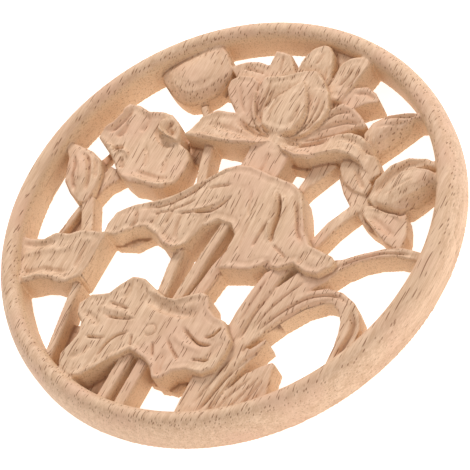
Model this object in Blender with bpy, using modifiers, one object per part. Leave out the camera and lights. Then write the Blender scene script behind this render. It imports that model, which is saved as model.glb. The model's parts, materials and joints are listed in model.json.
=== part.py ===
"""Round openwork wood carving: a lotus pond inside a plain ring, cut from one board.

The carving is drawn in millimetres, from the centre of the flat back, on a board with the
drawn thickness and the drawn opening. Each drawn point is (x, y, height). Plan sizes follow the
ring's opening and heights follow the board, so the carving stays seated in its ring.
"""

import bmesh
import bpy
import numpy as np

# Driving sizes, in metres
DIAMETER = 0.150
THICKNESS = 0.012
RING_WIDTH = 0.0075
RING_CREST_INSET = 0.0043
RING_OUTER_WALL = 0.0038
RING_INNER_WALL = 0.0080
SAW_ALLOWANCE = 0.0010

# Smoothness
RING_STEPS = 96
OUTER_ARC_STEPS = 5
INNER_ARC_STEPS = 3

# The board and opening that the carving is drawn on, in millimetres
DRAWN_OPENING = 67.5
DRAWN_THICKNESS = 12.0
EDGE_ROUNDING = 0.6
VEIN_END = 9.6
VEIN_DEEP = 9.2

PLAN = (DIAMETER / 2 - RING_WIDTH) / DRAWN_OPENING
RISE = THICKNESS / DRAWN_THICKNESS

WOOD_COLOUR = (0.70, 0.47, 0.31, 1.0)
WOOD_ROUGHNESS = 0.62


def clear_scene():
    for old in list(bpy.data.objects):
        bpy.data.objects.remove(old)


def collection(name, hidden=False):
    group = bpy.data.collections.new(name)
    group.hide_render = hidden
    bpy.context.scene.collection.children.link(group)
    return group


def wood():
    material = bpy.data.materials.new("pale_wood")
    material.use_nodes = True
    shader = material.node_tree.nodes["Principled BSDF"]
    shader.inputs["Base Color"].default_value = WOOD_COLOUR
    shader.inputs["Roughness"].default_value = WOOD_ROUGHNESS
    shader.inputs["Metallic"].default_value = 0.0
    return material


def add_mesh(name, points, faces, group, helper=True):
    """Makes a mesh object from points in metres. A helper is only joined or cut."""
    mesh = bpy.data.meshes.new(name)
    mesh.from_pydata([tuple(p) for p in points], [], faces)
    work = bmesh.new()
    work.from_mesh(mesh)
    bmesh.ops.recalc_face_normals(work, faces=work.faces)
    work.to_mesh(mesh)
    work.free()
    made = bpy.data.objects.new(name, mesh)
    group.objects.link(made)
    if helper:
        made.hide_render = True
        made.display_type = "WIRE"
    return made


def to_metres(points):
    return np.asarray(points, float) * (PLAN, PLAN, RISE)


def smooth_line(points, steps, closed=False):
    """A curve through the points, with the given number of steps between neighbours."""
    p = np.asarray(points, float)
    if closed:
        knots = np.vstack([p[-1], p, p[0], p[1]])
    else:
        knots = np.vstack([2 * p[0] - p[1], p, 2 * p[-1] - p[-2]])
    line = []
    for a, b, c, d in zip(knots, knots[1:], knots[2:], knots[3:]):
        for step in range(steps):
            t = step / steps
            line.append(b + 0.5 * t * (c - a + t * (2 * a - 5 * b + 4 * c - d + t * (3 * (b - c) + d - a))))
    if not closed:
        line.append(p[-1])
    return np.array(line)


def spread(value, count):
    """One value for each station, from one number or from a few along the length."""
    given = np.atleast_1d(np.asarray(value, float))
    return np.interp(np.linspace(0, 1, count), np.linspace(0, 1, len(given)), given)


class Carving:
    """Gathers the blocks that stand on the back and the cuts made in their tops."""

    def __init__(self, blocks, cuts):
        self.blocks = blocks
        self.cuts = cuts
        self.count = 0

    def floor(self):
        """The blocks start below the back at levels of their own, and are sawn off later."""
        self.count += 1
        return -SAW_ALLOWANCE / RISE * (1 + 0.01 * self.count)

    def strip(self, name, left, right, crown=0.0, steps=1, inner=1):
        """A block between two edge lines, with a top that bows up by `crown` across it."""
        left = smooth_line(left, steps)
        right = smooth_line(right, steps)
        crown = spread(crown, len(left))
        floor = self.floor()
        inner_shares = np.linspace(0, 1, inner + 2)[1:-1]
        rows = []
        for a, b, rise in zip(left, right, crown):
            width = np.hypot(*(b - a)[:2])
            rim = min(0.25, EDGE_ROUNDING / max(width, 1e-6))
            shares = [0, rim, *(rim + (1 - 2 * rim) * inner_shares), 1 - rim, 1]
            row = [(a + (b - a) * s + (0, 0, rise * (1 - (2 * s - 1) ** 2))) for s in shares]
            row[0] = row[0] - (0, 0, 0.8 * EDGE_ROUNDING)
            row[-1] = row[-1] - (0, 0, 0.8 * EDGE_ROUNDING)
            rows.append(row)
        across = len(rows[0])
        tops = [p for row in rows for p in row]
        feet = [(*p[:2], floor) for row in rows for p in (row[0], row[-1])]
        base = len(tops)
        faces = []
        for i in range(len(rows) - 1):
            for j in range(across - 1):
                k = i * across + j
                faces.append((k, k + 1, k + across + 1, k + across))
            foot = base + 2 * i
            faces.append((foot, foot + 2, foot + 3, foot + 1))
            faces.append((i * across, (i + 1) * across, foot + 2, foot))
            faces.append((i * across + across - 1, foot + 1, foot + 3, (i + 2) * across - 1))
        last = len(rows) - 1
        faces.append((*range(across), base + 1, base))
        faces.append((*range(last * across, (last + 1) * across), base + 2 * last + 1, base + 2 * last))
        add_mesh(name, to_metres(tops + feet), faces, self.blocks)

    def stem(self, name, path, width, crown=0.4, steps=2):
        """A strip of even width along a path."""
        path = np.asarray(path, float)
        along = np.gradient(path[:, :2], axis=0)
        along /= np.hypot(*along.T)[:, None]
        side = np.column_stack([-along[:, 1], along[:, 0], np.zeros(len(path))]) * width / 2
        self.strip(name, path + side, path - side, crown, steps)

    def pad(self, name, centre, rim, bow=0.0, steps=1, rings=(0.94, 0.7, 0.4), lip=0.0):
        """A block round a centre, with a top that runs from the centre's height to the rim's."""
        centre = np.asarray(centre, float)
        rim = smooth_line(rim, steps, closed=True)
        floor = self.floor()
        around = len(rim)
        tops = [rim - (0, 0, 0.8 * EDGE_ROUNDING)]
        for share in rings:
            ring = centre + (rim - centre) * share
            ring[:, 2] = centre[2] + (rim[:, 2] - centre[2]) * share ** 2 + bow * (1 - share ** 2)
            tops.append(ring)
        tops[1][:, 2] += lip
        points = [p for ring in tops for p in ring]
        top_centre = len(points)
        points.append(centre + (0, 0, bow))
        foot = len(points)
        points += [(*p[:2], floor) for p in rim]
        foot_centre = len(points)
        points.append((*centre[:2], floor))
        faces = []
        for i in range(around):
            n = (i + 1) % around
            for r in range(len(tops) - 1):
                faces.append((r * around + i, r * around + n, (r + 1) * around + n, (r + 1) * around + i))
            inner = (len(tops) - 1) * around
            faces.append((inner + i, inner + n, top_centre))
            faces.append((foot + i, foot + n, n, i))
            faces.append((foot + n, foot + i, foot_centre))
        add_mesh(name, to_metres(points), faces, self.blocks)

    def groove(self, name, path, slope=1.0, steps=2):
        """A knife-cut V along a path. The path's heights are those of its bottom."""
        path = smooth_line(path, steps)
        along = np.gradient(path[:, :2], axis=0)
        along /= np.hypot(*along.T)[:, None]
        side = np.column_stack([-along[:, 1], along[:, 0]])
        top = DRAWN_THICKNESS + 1.0
        points = []
        for p, s in zip(path, side):
            half = (top - p[2]) * slope
            points += [p, (*(p[:2] + s * half), top), (*(p[:2] - s * half), top)]
        faces = [(0, 1, 2), (len(points) - 1, len(points) - 2, len(points) - 3)]
        for i in range(0, len(points) - 3, 3):
            for j in range(3):
                k = (j + 1) % 3
                faces.append((i + j, i + 3 + j, i + 3 + k, i + k))
        add_mesh(name, to_metres(points), faces, self.cuts)


def ring_profile():
    """The ring's section: an upright wall, a long outer arc, a crest and a short inner arc."""
    outer = DIAMETER / 2
    inner = outer - RING_WIDTH
    crest = outer - RING_CREST_INSET
    section = [(crest, THICKNESS)]
    for step in range(1, OUTER_ARC_STEPS + 1):
        turn = np.pi / 2 * step / OUTER_ARC_STEPS
        rise = RING_OUTER_WALL + (THICKNESS - RING_OUTER_WALL) * np.cos(turn)
        section.append((crest + RING_CREST_INSET * np.sin(turn), rise))
    section += [(outer, -SAW_ALLOWANCE), (inner, -SAW_ALLOWANCE)]
    for step in range(INNER_ARC_STEPS):
        turn = np.pi / 2 * step / INNER_ARC_STEPS
        rise = RING_INNER_WALL + (THICKNESS - RING_INNER_WALL) * np.sin(turn)
        section.append((crest - (crest - inner) * np.cos(turn), rise))
    return section


def build_ring(group):
    section = ring_profile()
    mesh = bpy.data.meshes.new("rosette")
    edges = [(i, (i + 1) % len(section)) for i in range(len(section))]
    mesh.from_pydata([(r, 0.0, z) for r, z in section], edges, [])
    ring = bpy.data.objects.new("rosette", mesh)
    group.objects.link(ring)
    turn = ring.modifiers.new("turned_ring", "SCREW")
    turn.steps = turn.render_steps = RING_STEPS
    turn.use_merge_vertices = True
    turn.merge_threshold = 0.0001
    turn.use_smooth_shade = False
    return ring


def carve_seed_pod(c):
    c.pad(
        "seed_pod",
        (-37, 47, 9.6),
        [(-50.6, 45, 5.8), (-48, 47.6, 6.8), (-42, 53.2, 8), (-36.4, 58.4, 8.7), (-34.4, 59.4, 8.8),
         (-31.2, 57.4, 9), (-26.6, 52.6, 8.6), (-26, 47, 7.8), (-28.4, 41.2, 7.2), (-33.5, 37.3, 6.8),
         (-38, 36.6, 6.8), (-44, 39, 6.5), (-49.4, 42.8, 5.8)],
        bow=1.0, steps=2,
    )
    c.stem("pod_stem", [(-33.5, 42, 5.2), (-31, 38.5, 5.4), (-27.5, 34.5, 5.2)], 2.6, 0.5)
    c.strip(
        "pod_web", [(-29, 54, 5), (-29, 44, 4.5)], [(-20, 54, 5), (-20, 44, 4.5)],
    )


def carve_flower(c):
    c.strip(
        "back_petal_far_left",
        [(-26.5, 52.4, 9), (-22.5, 54.8, 9.4), (-17.5, 56, 9.6), (-12, 55.5, 9.6)],
        [(-26, 51.6, 8.5), (-21.5, 48, 8), (-17, 45.5, 8), (-12, 44, 8)],
    )
    c.strip(
        "back_petal_left",
        [(-12, 46, 8.5), (-13.4, 54, 9.6), (-13.6, 61, 10)],
        [(-2, 46, 8.5), (-3, 55, 9.4), (-7.6, 60.7, 10)],
        crown=0.4,
    )
    c.strip(
        "back_petal_top",
        [(-3, 46, 8.5), (-3.4, 57, 9.6), (-2.7, 61, 10.4), (-1, 64.4, 10.6), (1.6, 66.6, 10)],
        [(9, 46, 8.5), (9.2, 56, 9.6), (8.2, 60.5, 10.2), (6.4, 64.4, 10.4), (4, 66.6, 10)],
        crown=(0.2, 0.8, 0.3),
    )
    c.strip(
        "back_petal_right",
        [(8, 49, 9), (9.6, 56, 9.5), (10.3, 61.5, 10), (12.5, 64, 10.2), (15.5, 65.6, 9.8)],
        [(16.4, 49, 9), (18, 55, 9.6), (19.3, 60, 10), (20, 63.5, 10), (19, 66.5, 9.6)],
        crown=0.5,
    )
    c.strip(
        "back_petal_web",
        [(-0.5, 68.6, 7.6), (8, 68, 7), (17.5, 66.4, 7)],
        [(-0.5, 60, 7.6), (8, 56, 7), (17, 58, 7)],
    )
    c.strip(
        "back_petal_curled",
        [(16.4, 50.4, 9), (18.5, 55.2, 9.2), (22.5, 56.5, 9.2), (26, 55.2, 9), (28.4, 53.1, 8.6)],
        [(17.4, 45.5, 8), (20.5, 46.9, 8.2), (23.2, 49.2, 9), (25.8, 51, 9.2), (28.2, 52.2, 8.6)],
        crown=-0.5,
    )
    c.strip(
        "outer_petal_left",
        [(-12, 33, 8), (-17, 37.3, 9), (-20.5, 40.4, 9.8), (-22.7, 43.6, 10.2), (-22.9, 46.6, 10.2),
         (-20.7, 48.7, 10)],
        [(-6, 34.4, 8), (-10, 40, 9), (-11.6, 45, 9.6), (-12.4, 48.4, 10), (-16, 49.8, 10.2),
         (-20, 49, 10)],
        crown=0.6,
    )
    c.strip(
        "cup_petal_back",
        [(-3, 40, 9), (-6.4, 48, 10), (-5.2, 52.8, 10.5), (0, 55.6, 10.8), (4.1, 56.5, 10.8)],
        [(9, 40, 9), (13.2, 47, 10), (11.6, 50.8, 10.4), (8, 54.3, 10.8), (4.9, 56.3, 10.8)],
        crown=0.2,
    )
    c.strip(
        "cup_petal_left",
        [(-3, 31.4, 7.8), (-8.5, 35.3, 8.6), (-11.6, 40, 9.6), (-12.4, 45, 10.3), (-11.9, 50.4, 10.8)],
        [(1, 34, 8), (-3.5, 38, 8.6), (-4.5, 44, 9.4), (-3.5, 49, 10.2), (-4, 52.8, 10.8)],
        crown=0.3,
    )
    c.strip(
        "cup_petal_right",
        [(2, 32.2, 7.8), (6, 35, 8.4), (7.6, 40, 9), (7.4, 45, 9.8), (6.4, 50.2, 10.6)],
        [(5, 32.2, 7.8), (10.6, 35.5, 8.6), (13.9, 40, 9.6), (14.9, 44.6, 10.2), (12.2, 50.4, 10.5)],
        crown=0.3,
    )
    c.strip(
        "outer_petal_right",
        [(6, 36, 7.6), (12, 39.6, 9), (14.5, 45, 9.8), (18, 48.5, 10), (22, 47.9, 9.8), (25.5, 46, 9.4),
         (28.6, 43.6, 9)],
        [(7, 32, 7.2), (11.5, 33.6, 7.2), (16, 36, 7), (20, 38.2, 6.8), (22.6, 40.2, 6.8), (25, 42, 7.4),
         (28.2, 42.5, 8.2)],
        crown=(0, 0.2, 0),
    )
    c.strip(
        "egg_petal",
        [(0.5, 31.6, 9), (-4.5, 34, 9.6), (-6.7, 38.5, 9.9), (-5.2, 43.5, 10.1), (-1.8, 48, 10.4),
         (1.8, 51.9, 11)],
        [(2.5, 31.6, 9), (6.6, 34.4, 9.6), (8.1, 39, 9.9), (7.3, 43.5, 10.1), (5, 48.4, 10.4),
         (2.6, 51.9, 11)],
        crown=(0.4, 1.8, 1.6, 0.4), inner=3,
    )
    c.strip(
        "spread_petal_left",
        [(-25.8, 31.8, 10.2), (-22, 35.4, 10), (-16, 36.4, 9.4), (-10, 34, 8.4), (-4, 32.2, 7.8),
         (1.6, 31.6, 7.6)],
        [(-28.1, 23.6, 10.6), (-24, 23.8, 11), (-18, 23.9, 11.2), (-10, 24.4, 11.2), (-4, 26.1, 11.2),
         (1.2, 29.4, 10.8)],
        crown=-1.0, inner=3,
    )
    c.strip(
        "spread_petal_right",
        [(2.8, 31.6, 7.8), (9, 32.2, 7.8), (14, 34.5, 8), (18, 36.4, 8.6), (22, 38, 9.6),
         (26, 38.8, 10.6), (30, 38.6, 10.6), (34.5, 36.5, 9.6), (38, 33, 8), (41, 29.5, 6.8)],
        [(2.9, 29.9, 10.6), (7.2, 27, 11), (12.4, 25.3, 11.2), (17.4, 26.2, 11.2), (21.4, 28.6, 11.2),
         (25.3, 30.4, 11.1), (29.2, 31, 10.6), (32.6, 30.2, 9.6), (35.5, 28.4, 8.2), (38.4, 25.8, 6.8)],
        crown=(-0.8, -1.4, 0.2, 0.2), inner=3,
    )
    c.strip(
        "spread_petal_underside",
        [(26.5, 31.5, 7.4), (32, 30.4, 7.6), (36.5, 28, 7.4), (40.2, 24.5, 7)],
        [(27.2, 27, 7), (30.2, 23.4, 7), (34.4, 21.4, 7), (39.6, 20.6, 6.8)],
        crown=0.4,
    )
    c.strip(
        "flower_base",
        [(-4.6, 32, 9), (-4.6, 26, 9), (-4.4, 16, 8.6)],
        [(10.2, 32, 9), (10, 26, 9), (9.8, 16, 8.6)],
        crown=0.5,
    )
    c.stem("flower_stalk_left", [(-20.2, 25.5, 7), (-18, 18, 7), (-14, 7.6, 7)], 3.8, 0.5)
    c.strip(
        "flower_stalk_right",
        [(17.5, 29, 6.2), (17.2, 23.5, 6.2), (16.6, 18.5, 6.2), (16, 14, 6.2)],
        [(25.2, 29, 6), (22.4, 23.5, 6), (19.8, 18.5, 6), (18.4, 14, 6)],
        crown=0.3,
    )
    c.strip(
        "flower_web", [(8, 31, 5), (8, 24.5, 5)], [(20, 31, 5), (20, 24.5, 5)],
    )
    c.strip(
        "leaf_web", [(-30, 26, 4), (-26, 18.6, 3.4)], [(-19, 26, 4), (-18.4, 17.4, 3.4)],
    )
    c.strip(
        "flower_heart",
        [(-13, 52, 8), (-12, 42, 7.6), (-8, 31, 7.2)],
        [(17, 51.6, 8.4), (16, 42, 7.4), (10, 31, 7)],
    )
    c.strip(
        "fold_web", [(21, 43, 4), (30, 43.4, 4)], [(21, 36, 4), (30, 36.6, 4)],
    )


def carve_buds(c):
    c.strip(
        "upper_bud",
        [(28.8, 41, 7.6), (30, 45.2, 8.2), (34, 48.8, 8.6), (39, 50.8, 8.8), (43, 51.8, 8.8),
         (47, 52.4, 8.4)],
        [(31.5, 37, 7.6), (35.6, 35.8, 7.8), (38.8, 41, 8), (41.4, 45.6, 8.2), (43.4, 49.2, 8.2),
         (47.6, 50.6, 8.2)],
        crown=(0.6, 2.0, 1.2, 0.4), inner=3,
    )
    c.strip(
        "lower_bud_sheath",
        [(41.2, 19, 7.8), (40.8, 26, 8.4), (43, 32, 8.6), (47.5, 36.2, 8.6), (53, 37.6, 8.6),
         (58.6, 37.2, 8.2)],
        [(43.4, 19.4, 7.8), (44.8, 25.5, 8), (48, 31, 8.2), (51.5, 33.8, 8.4), (55, 34.8, 8.4),
         (59.6, 34.6, 8)],
        crown=0.6,
    )
    c.strip(
        "lower_bud_groove_web",
        [(43.6, 23, 6.4), (46.6, 31, 6.6), (50.8, 34.9, 6.6), (58, 35.8, 6.4)],
        [(47, 23, 6.2), (50.4, 29.6, 6.4), (53.6, 31.9, 6.4), (59, 32.4, 6.2)],
    )
    c.strip(
        "lower_bud",
        [(42.6, 18.8, 8), (45.4, 25, 8.8), (48.4, 30.8, 9.2), (52, 33, 9.4), (56, 33.6, 9.2),
         (60, 33.4, 8.4)],
        [(46.5, 17.2, 7), (51.8, 17.4, 6.6), (55.2, 20.4, 6.4), (57.4, 24, 6.6), (59.2, 27.8, 7),
         (61.6, 31, 7.6)],
        crown=(0.6, 2.8, 2.8, 0.8), inner=3,
    )
    c.strip(
        "lower_bud_sepal",
        [(41.2, 17.2, 7.6), (46, 18.8, 7.4), (51, 18.8, 7), (55, 18.6, 7), (57, 15.6, 7.2),
         (58.8, 11.8, 7.2)],
        [(42, 14.4, 8.2), (45.4, 12.2, 8.4), (49.4, 9.6, 8.4), (53.4, 7.4, 8), (56.8, 6.4, 7.6),
         (59.6, 6.2, 7.2)],
        crown=-0.3,
    )
    c.strip(
        "lower_bud_base",
        [(38, 19.5, 5.4), (42, 18, 5.4), (48, 16, 5.2), (54, 14, 5), (58.4, 11.2, 5)],
        [(40.4, 13.8, 5.2), (43, 12, 5), (46, 10.5, 4.8), (50, 9.4, 4.8), (58, 7, 4.6)],
        crown=0.3,
    )
    c.strip(
        "bud_junction",
        [(27, 26, 5.8), (33, 27, 6.2), (39, 25, 6.2), (44, 21, 6)],
        [(28, 24.5, 5.4), (31.4, 20.4, 5.8), (35.6, 16.8, 5.8), (41, 14.5, 5.6)],
        crown=0.4,
    )
    c.stem("lower_bud_stalk", [(38.6, 17.5, 5.8), (33.8, 8.5, 5.8), (30, -3, 5.8)], 4.4, 0.6)
    c.strip(
        "left_bud",
        [(-52.4, -7.8, 7), (-57.2, -5.2, 7.6), (-61.2, -1.8, 7.8), (-63, 2.4, 7.8), (-64.6, 6.4, 7.8),
         (-68, 9.6, 7.4)],
        [(-49.2, -6, 7), (-48.8, -1, 7.6), (-50, 4, 7.8), (-52.8, 8.8, 7.8), (-57.6, 11, 7.8),
         (-67.6, 12.6, 7.4)],
        crown=(0.6, 1.8, 1.6, 0.4), inner=3,
    )


def carve_leaves(c):
    c.pad(
        "curled_leaf",
        (-39, 17, 8.6),
        [(-53.5, 29.8, 9.8), (-49.5, 30.4, 9.2), (-45, 29, 9.6), (-40, 29.9, 10), (-36, 29.6, 10.2),
         (-32.4, 27.6, 10.2), (-29.6, 24, 9.8), (-28.4, 20.8, 8.8), (-25, 19.6, 8.6), (-22.8, 17, 8.4),
         (-22, 12, 8.6), (-22.4, 7, 9.2), (-25, 3.8, 9.8), (-29, 3, 9.8), (-34, 3.3, 9.4),
         (-38, 2.9, 9.4), (-42, 4.4, 8.6), (-45, 6.1, 8), (-47.4, 8.6, 8.4), (-50, 11, 9.4),
         (-53, 12.8, 9.4), (-57, 15.4, 9.8), (-56.6, 18.6, 10.2), (-54.6, 21.6, 10.2),
         (-53.2, 25.4, 10.2)],
        bow=-0.2, lip=0.3,
    )
    c.strip(
        "curled_leaf_flap",
        [(-36.8, 28.8, 10.6), (-37.8, 26, 11.1), (-37.2, 22.3, 11.1)],
        [(-31.2, 26.8, 10.2), (-29.8, 24, 10), (-29.4, 20.9, 9.8)],
        crown=-0.3,
    )
    c.strip(
        "left_leaf",
        [(-66, -24.5, 9), (-60, -24.6, 9), (-55, -23.6, 9.4), (-51.5, -20.6, 10.3), (-47, -19.6, 9.8),
         (-44, -17.5, 10.2), (-39, -16.6, 10.4), (-34.8, -16, 10.8)],
        [(-59.5, -40, 9), (-56.5, -41.2, 9.2), (-52.4, -39.8, 10.2), (-48.4, -37.6, 10.6),
         (-45, -36.7, 10), (-41.4, -36.8, 10), (-38.2, -35.8, 10.6), (-34.9, -32.6, 10.9)],
        crown=-1.0, inner=3,
    )
    c.strip(
        "middle_leaf",
        [(-36.3, -13, 9.4), (-35.6, -8, 9.6), (-31, -4.2, 10), (-24, -0.9, 10.5), (-18, 3.3, 10.8),
         (-14, 7.6, 11), (-10.5, 11.6, 11.1), (-7, 15.4, 11.2), (-3, 18, 11.2), (1, 18.6, 11.2),
         (5, 18.2, 11.2), (9, 17.4, 11.2), (13, 17.2, 11), (17, 17, 10.4), (20.8, 15.2, 9.8),
         (23.4, 11.8, 9.6), (25.8, 7.8, 9.6), (28.8, 2.4, 9.8), (33, -1.5, 10.2), (38, -2.4, 10.3),
         (41.5, -3, 10.2), (43.6, -4.6, 9.8)],
        [(-35.8, -16.8, 9.4), (-31.4, -16, 9.6), (-27.4, -12.7, 9.9), (-23, -10.8, 10.1),
         (-18, -12.2, 10.2), (-14, -15.1, 10.2), (-10, -15.5, 10.2), (-6.3, -12, 9.8), (-4.6, -5, 9.3),
         (-1, -1.5, 9.2), (4, -1.8, 9.2), (7.2, -5, 9.4), (7.5, -10, 9.8), (8.3, -17.2, 10.2),
         (13, -15.8, 10), (18, -14.6, 10), (21.6, -11.8, 9.8), (26.5, -11.8, 9.9), (30.8, -8.9, 9.6),
         (35.6, -10.7, 9.9), (40, -10.1, 10), (43, -6.8, 9.8)],
        crown=0.5, inner=3,
    )
    c.pad(
        "lower_leaf",
        (-2.5, -42, 9.6),
        [(-29.8, -41.5, 10.6), (-27.5, -37.4, 10.4), (-22.2, -35, 10.2), (-19.8, -31.2, 10.4),
         (-17.2, -27.7, 10.8), (-12.8, -27.3, 10.8), (-8, -29.2, 10.2), (-3, -31, 9.8), (1, -30.8, 9.8),
         (4.4, -28.2, 10.6), (8.2, -26.2, 10.9), (10.6, -26.8, 10.8), (13, -30.6, 10.4),
         (16, -32.3, 10.2), (20, -33, 10.4), (22.4, -35.8, 10.6), (25.2, -38.4, 10.7),
         (25.7, -43, 10.6), (24.6, -48.6, 10.6), (21.4, -51.4, 10.4), (16, -51.7, 10.2),
         (12.3, -53.6, 10.4), (9.6, -57, 10.8), (7.2, -57.4, 10.8), (4.2, -53.8, 10.3),
         (1, -52.1, 10.2), (-2.5, -51.3, 10.5), (-5.2, -50.8, 10.7), (-8, -53.7, 10.4),
         (-10.5, -56.2, 10.4), (-13, -59.6, 10.6), (-16, -63.6, 10.4), (-20.5, -65.4, 10),
         (-24.6, -63, 10.6), (-26.2, -59, 10.9), (-24.9, -55, 10.8), (-24.3, -51, 10.6),
         (-25.6, -47, 10.6), (-28.4, -44.8, 10.6)],
        bow=0.2, lip=0.3,
    )


def carve_stems(c):
    c.stem("left_bud_stalk", [(-50.2, -5, 6.6), (-46.3, -12, 6.6), (-42.5, -19, 6.6)], 4.6, 0.6)
    c.stem("left_bud_leaflet", [(-51, -6, 5.6), (-52.5, -12, 5.6), (-53.6, -21, 5.6)], 2.2, 0.3)
    c.strip(
        "left_stalk_web",
        [(-51, -7, 3), (-52.5, -12, 3), (-53.6, -22, 3)],
        [(-48, -7, 3), (-46, -12, 3), (-43, -22, 3)],
    )
    c.strip(
        "curled_leaf_stalk",
        [(-52, -5, 5.2), (-51.6, 2, 5.2), (-50.4, 8.8, 5.2)],
        [(-48.6, -4.2, 5.2), (-47.2, 1.4, 5.2), (-42.8, 6.6, 5.2)],
        crown=0.6,
    )
    c.strip(
        "left_bud_web", [(-58, 9, 2.6), (-55.4, 14.2, 2.6)], [(-54.4, 8, 2.6), (-53, 14, 2.6)],
    )
    c.stem("left_leaf_stalk", [(-36, -34, 8), (-34.6, -44, 7.8), (-32.6, -56, 7.6), (-31.4, -64, 7.4)],
           3.0, 0.5)
    c.stem("middle_stalk_left", [(-9.4, -10, 7.6), (-8.2, -20, 7.8), (-6.2, -32, 7.8)], 3.8, 0.6)
    c.stem("middle_stalk_centre", [(1.6, -1, 8), (0.4, -14, 8), (-0.6, -32, 8)], 3.8, 0.6)
    c.strip(
        "middle_stalk_right",
        [(7.4, -6, 8.4), (4.2, -16, 8.2), (1.8, -30, 7.8)],
        [(11.5, -8, 7), (7.6, -18, 6.6), (6, -30, 6.4)],
        crown=0.3,
    )
    c.stem("low_stalk_left", [(-6.2, -48, 7.8), (-6.6, -58, 7.8), (-6.8, -69.5, 7.8)], 4.2, 0.7)
    c.stem("low_stalk_right", [(0, -48, 7.8), (-0.2, -58, 7.8), (-0.2, -69.5, 7.8)], 4.2, 0.7)
    c.strip(
        "low_web", [(-24, -60, 3.2), (-20, -68.6, 3.2)], [(-6, -55, 3.2), (-6, -69, 3.2)],
    )
    c.strip(
        "left_low_web", [(-36, -46, 2.6), (-32.6, -62.4, 2.6)], [(-22, -44, 2.6), (-22, -62.6, 2.6)],
    )
    c.strip(
        "lower_leaf_skirt", [(2, -50, 3.4), (3, -56.6, 3.4)], [(17.4, -50, 3.4), (12.4, -56.8, 3.4)],
    )
    c.strip(
        "middle_leaf_skirt",
        [(-34.4, -12, 4), (-27, -10, 4), (-21, -10, 4)],
        [(-33.6, -17, 4), (-26.8, -15.4, 4), (-23.4, -11.8, 4)],
    )


def carve_grass(c):
    c.strip(
        "bank",
        [(17.8, -49, 8.2), (17.8, -58, 8), (18, -67, 7.6)],
        [(27, -49, 8), (27, -58, 7.8), (27, -65, 7.6)],
        crown=0.2,
    )
    c.strip(
        "blade_broad",
        [(19.8, -38, 7.6), (20, -28, 8.2), (21.4, -19, 8.4), (23.4, -9, 8.4)],
        [(27, -39, 7.4), (27, -28, 7.6), (27.7, -19, 7.8), (29.4, -9, 8)],
        crown=0.6,
    )
    c.strip(
        "blade_second",
        [(26.4, -39, 7.2), (26.6, -27, 7.6), (28.2, -17, 7.8), (33, -9, 7.8)],
        [(29.4, -37, 7), (33, -25, 7.4), (37.6, -16.4, 7.6), (43, -9.5, 7.6)],
        crown=0.5,
    )
    c.strip(
        "blade_arched",
        [(26.6, -38, 7), (30.6, -27, 7.4), (35, -19.2, 7.6), (39, -14.8, 7.8), (44, -12.2, 7.8),
         (49.4, -12.2, 7.8), (54.4, -14.2, 7.6), (58, -17.5, 7.4), (60.2, -21.7, 7.2),
         (60.7, -26.8, 7), (60.2, -34, 6.8)],
        [(28.6, -38, 6.6), (35, -27, 7), (40, -20.6, 7.2), (45, -17.1, 7.4), (48.4, -16.8, 7.4),
         (51.2, -18.6, 7.2), (53, -21.4, 7), (54, -25, 6.8), (54.6, -29, 6.6), (54.8, -33, 6.6),
         (55, -38.5, 6.6)],
        crown=(0.3, 0.5, 0.6, 0.3, 0.2),
    )
    c.strip(
        "blade_cut_upper",
        [(21, -66, 7.6), (24, -53, 8), (28.6, -42, 8.2), (34, -33.6, 8)],
        [(24.5, -66, 7.4), (27.6, -53, 7.6), (31.4, -43, 7.8), (35.2, -34.8, 7.8)],
        crown=0.5,
    )
    c.strip(
        "blade_mid_fan",
        [(25, -64, 7.6), (26.4, -52, 7.8), (27.6, -44, 7.8), (29.4, -38, 7.8)],
        [(28.4, -63, 7.2), (30, -52, 7.4), (31.4, -44, 7.6), (33.6, -38.6, 7.6)],
        crown=0.5,
    )
    c.strip(
        "blade_cut_lower",
        [(28, -63, 7), (30, -53, 7.4), (33, -45.8, 7.4), (36.4, -42.3, 7.4), (39.2, -39.8, 7.2)],
        [(40, -57, 6.4), (43, -51, 6.6), (41.8, -46, 6.8), (41, -43, 6.8), (40.8, -40.4, 6.8)],
        crown=0.4,
    )
    c.strip(
        "blade_left_fan",
        [(20.5, -62, 7.8), (23.5, -50, 8), (24.8, -42, 8), (25.4, -36, 7.8)],
        [(26, -62, 7.6), (28, -50, 7.6), (29, -42, 7.6), (28.4, -35, 7.4)],
        crown=0.5,
    )
    c.strip(
        "blade_right",
        [(38, -5, 8.4), (43.6, -2.2, 8.2), (48.6, 1.5, 8.2), (54.6, 5, 8.2), (60.8, 6.9, 8.2),
         (68.8, 7.2, 8)],
        [(41, -12, 7.4), (45.4, -5.4, 7.6), (49.6, -1.4, 7.8), (54, 1.2, 7.8), (60, 3.3, 7.8),
         (68.8, 3.8, 7.6)],
        crown=0.3,
    )


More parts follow.
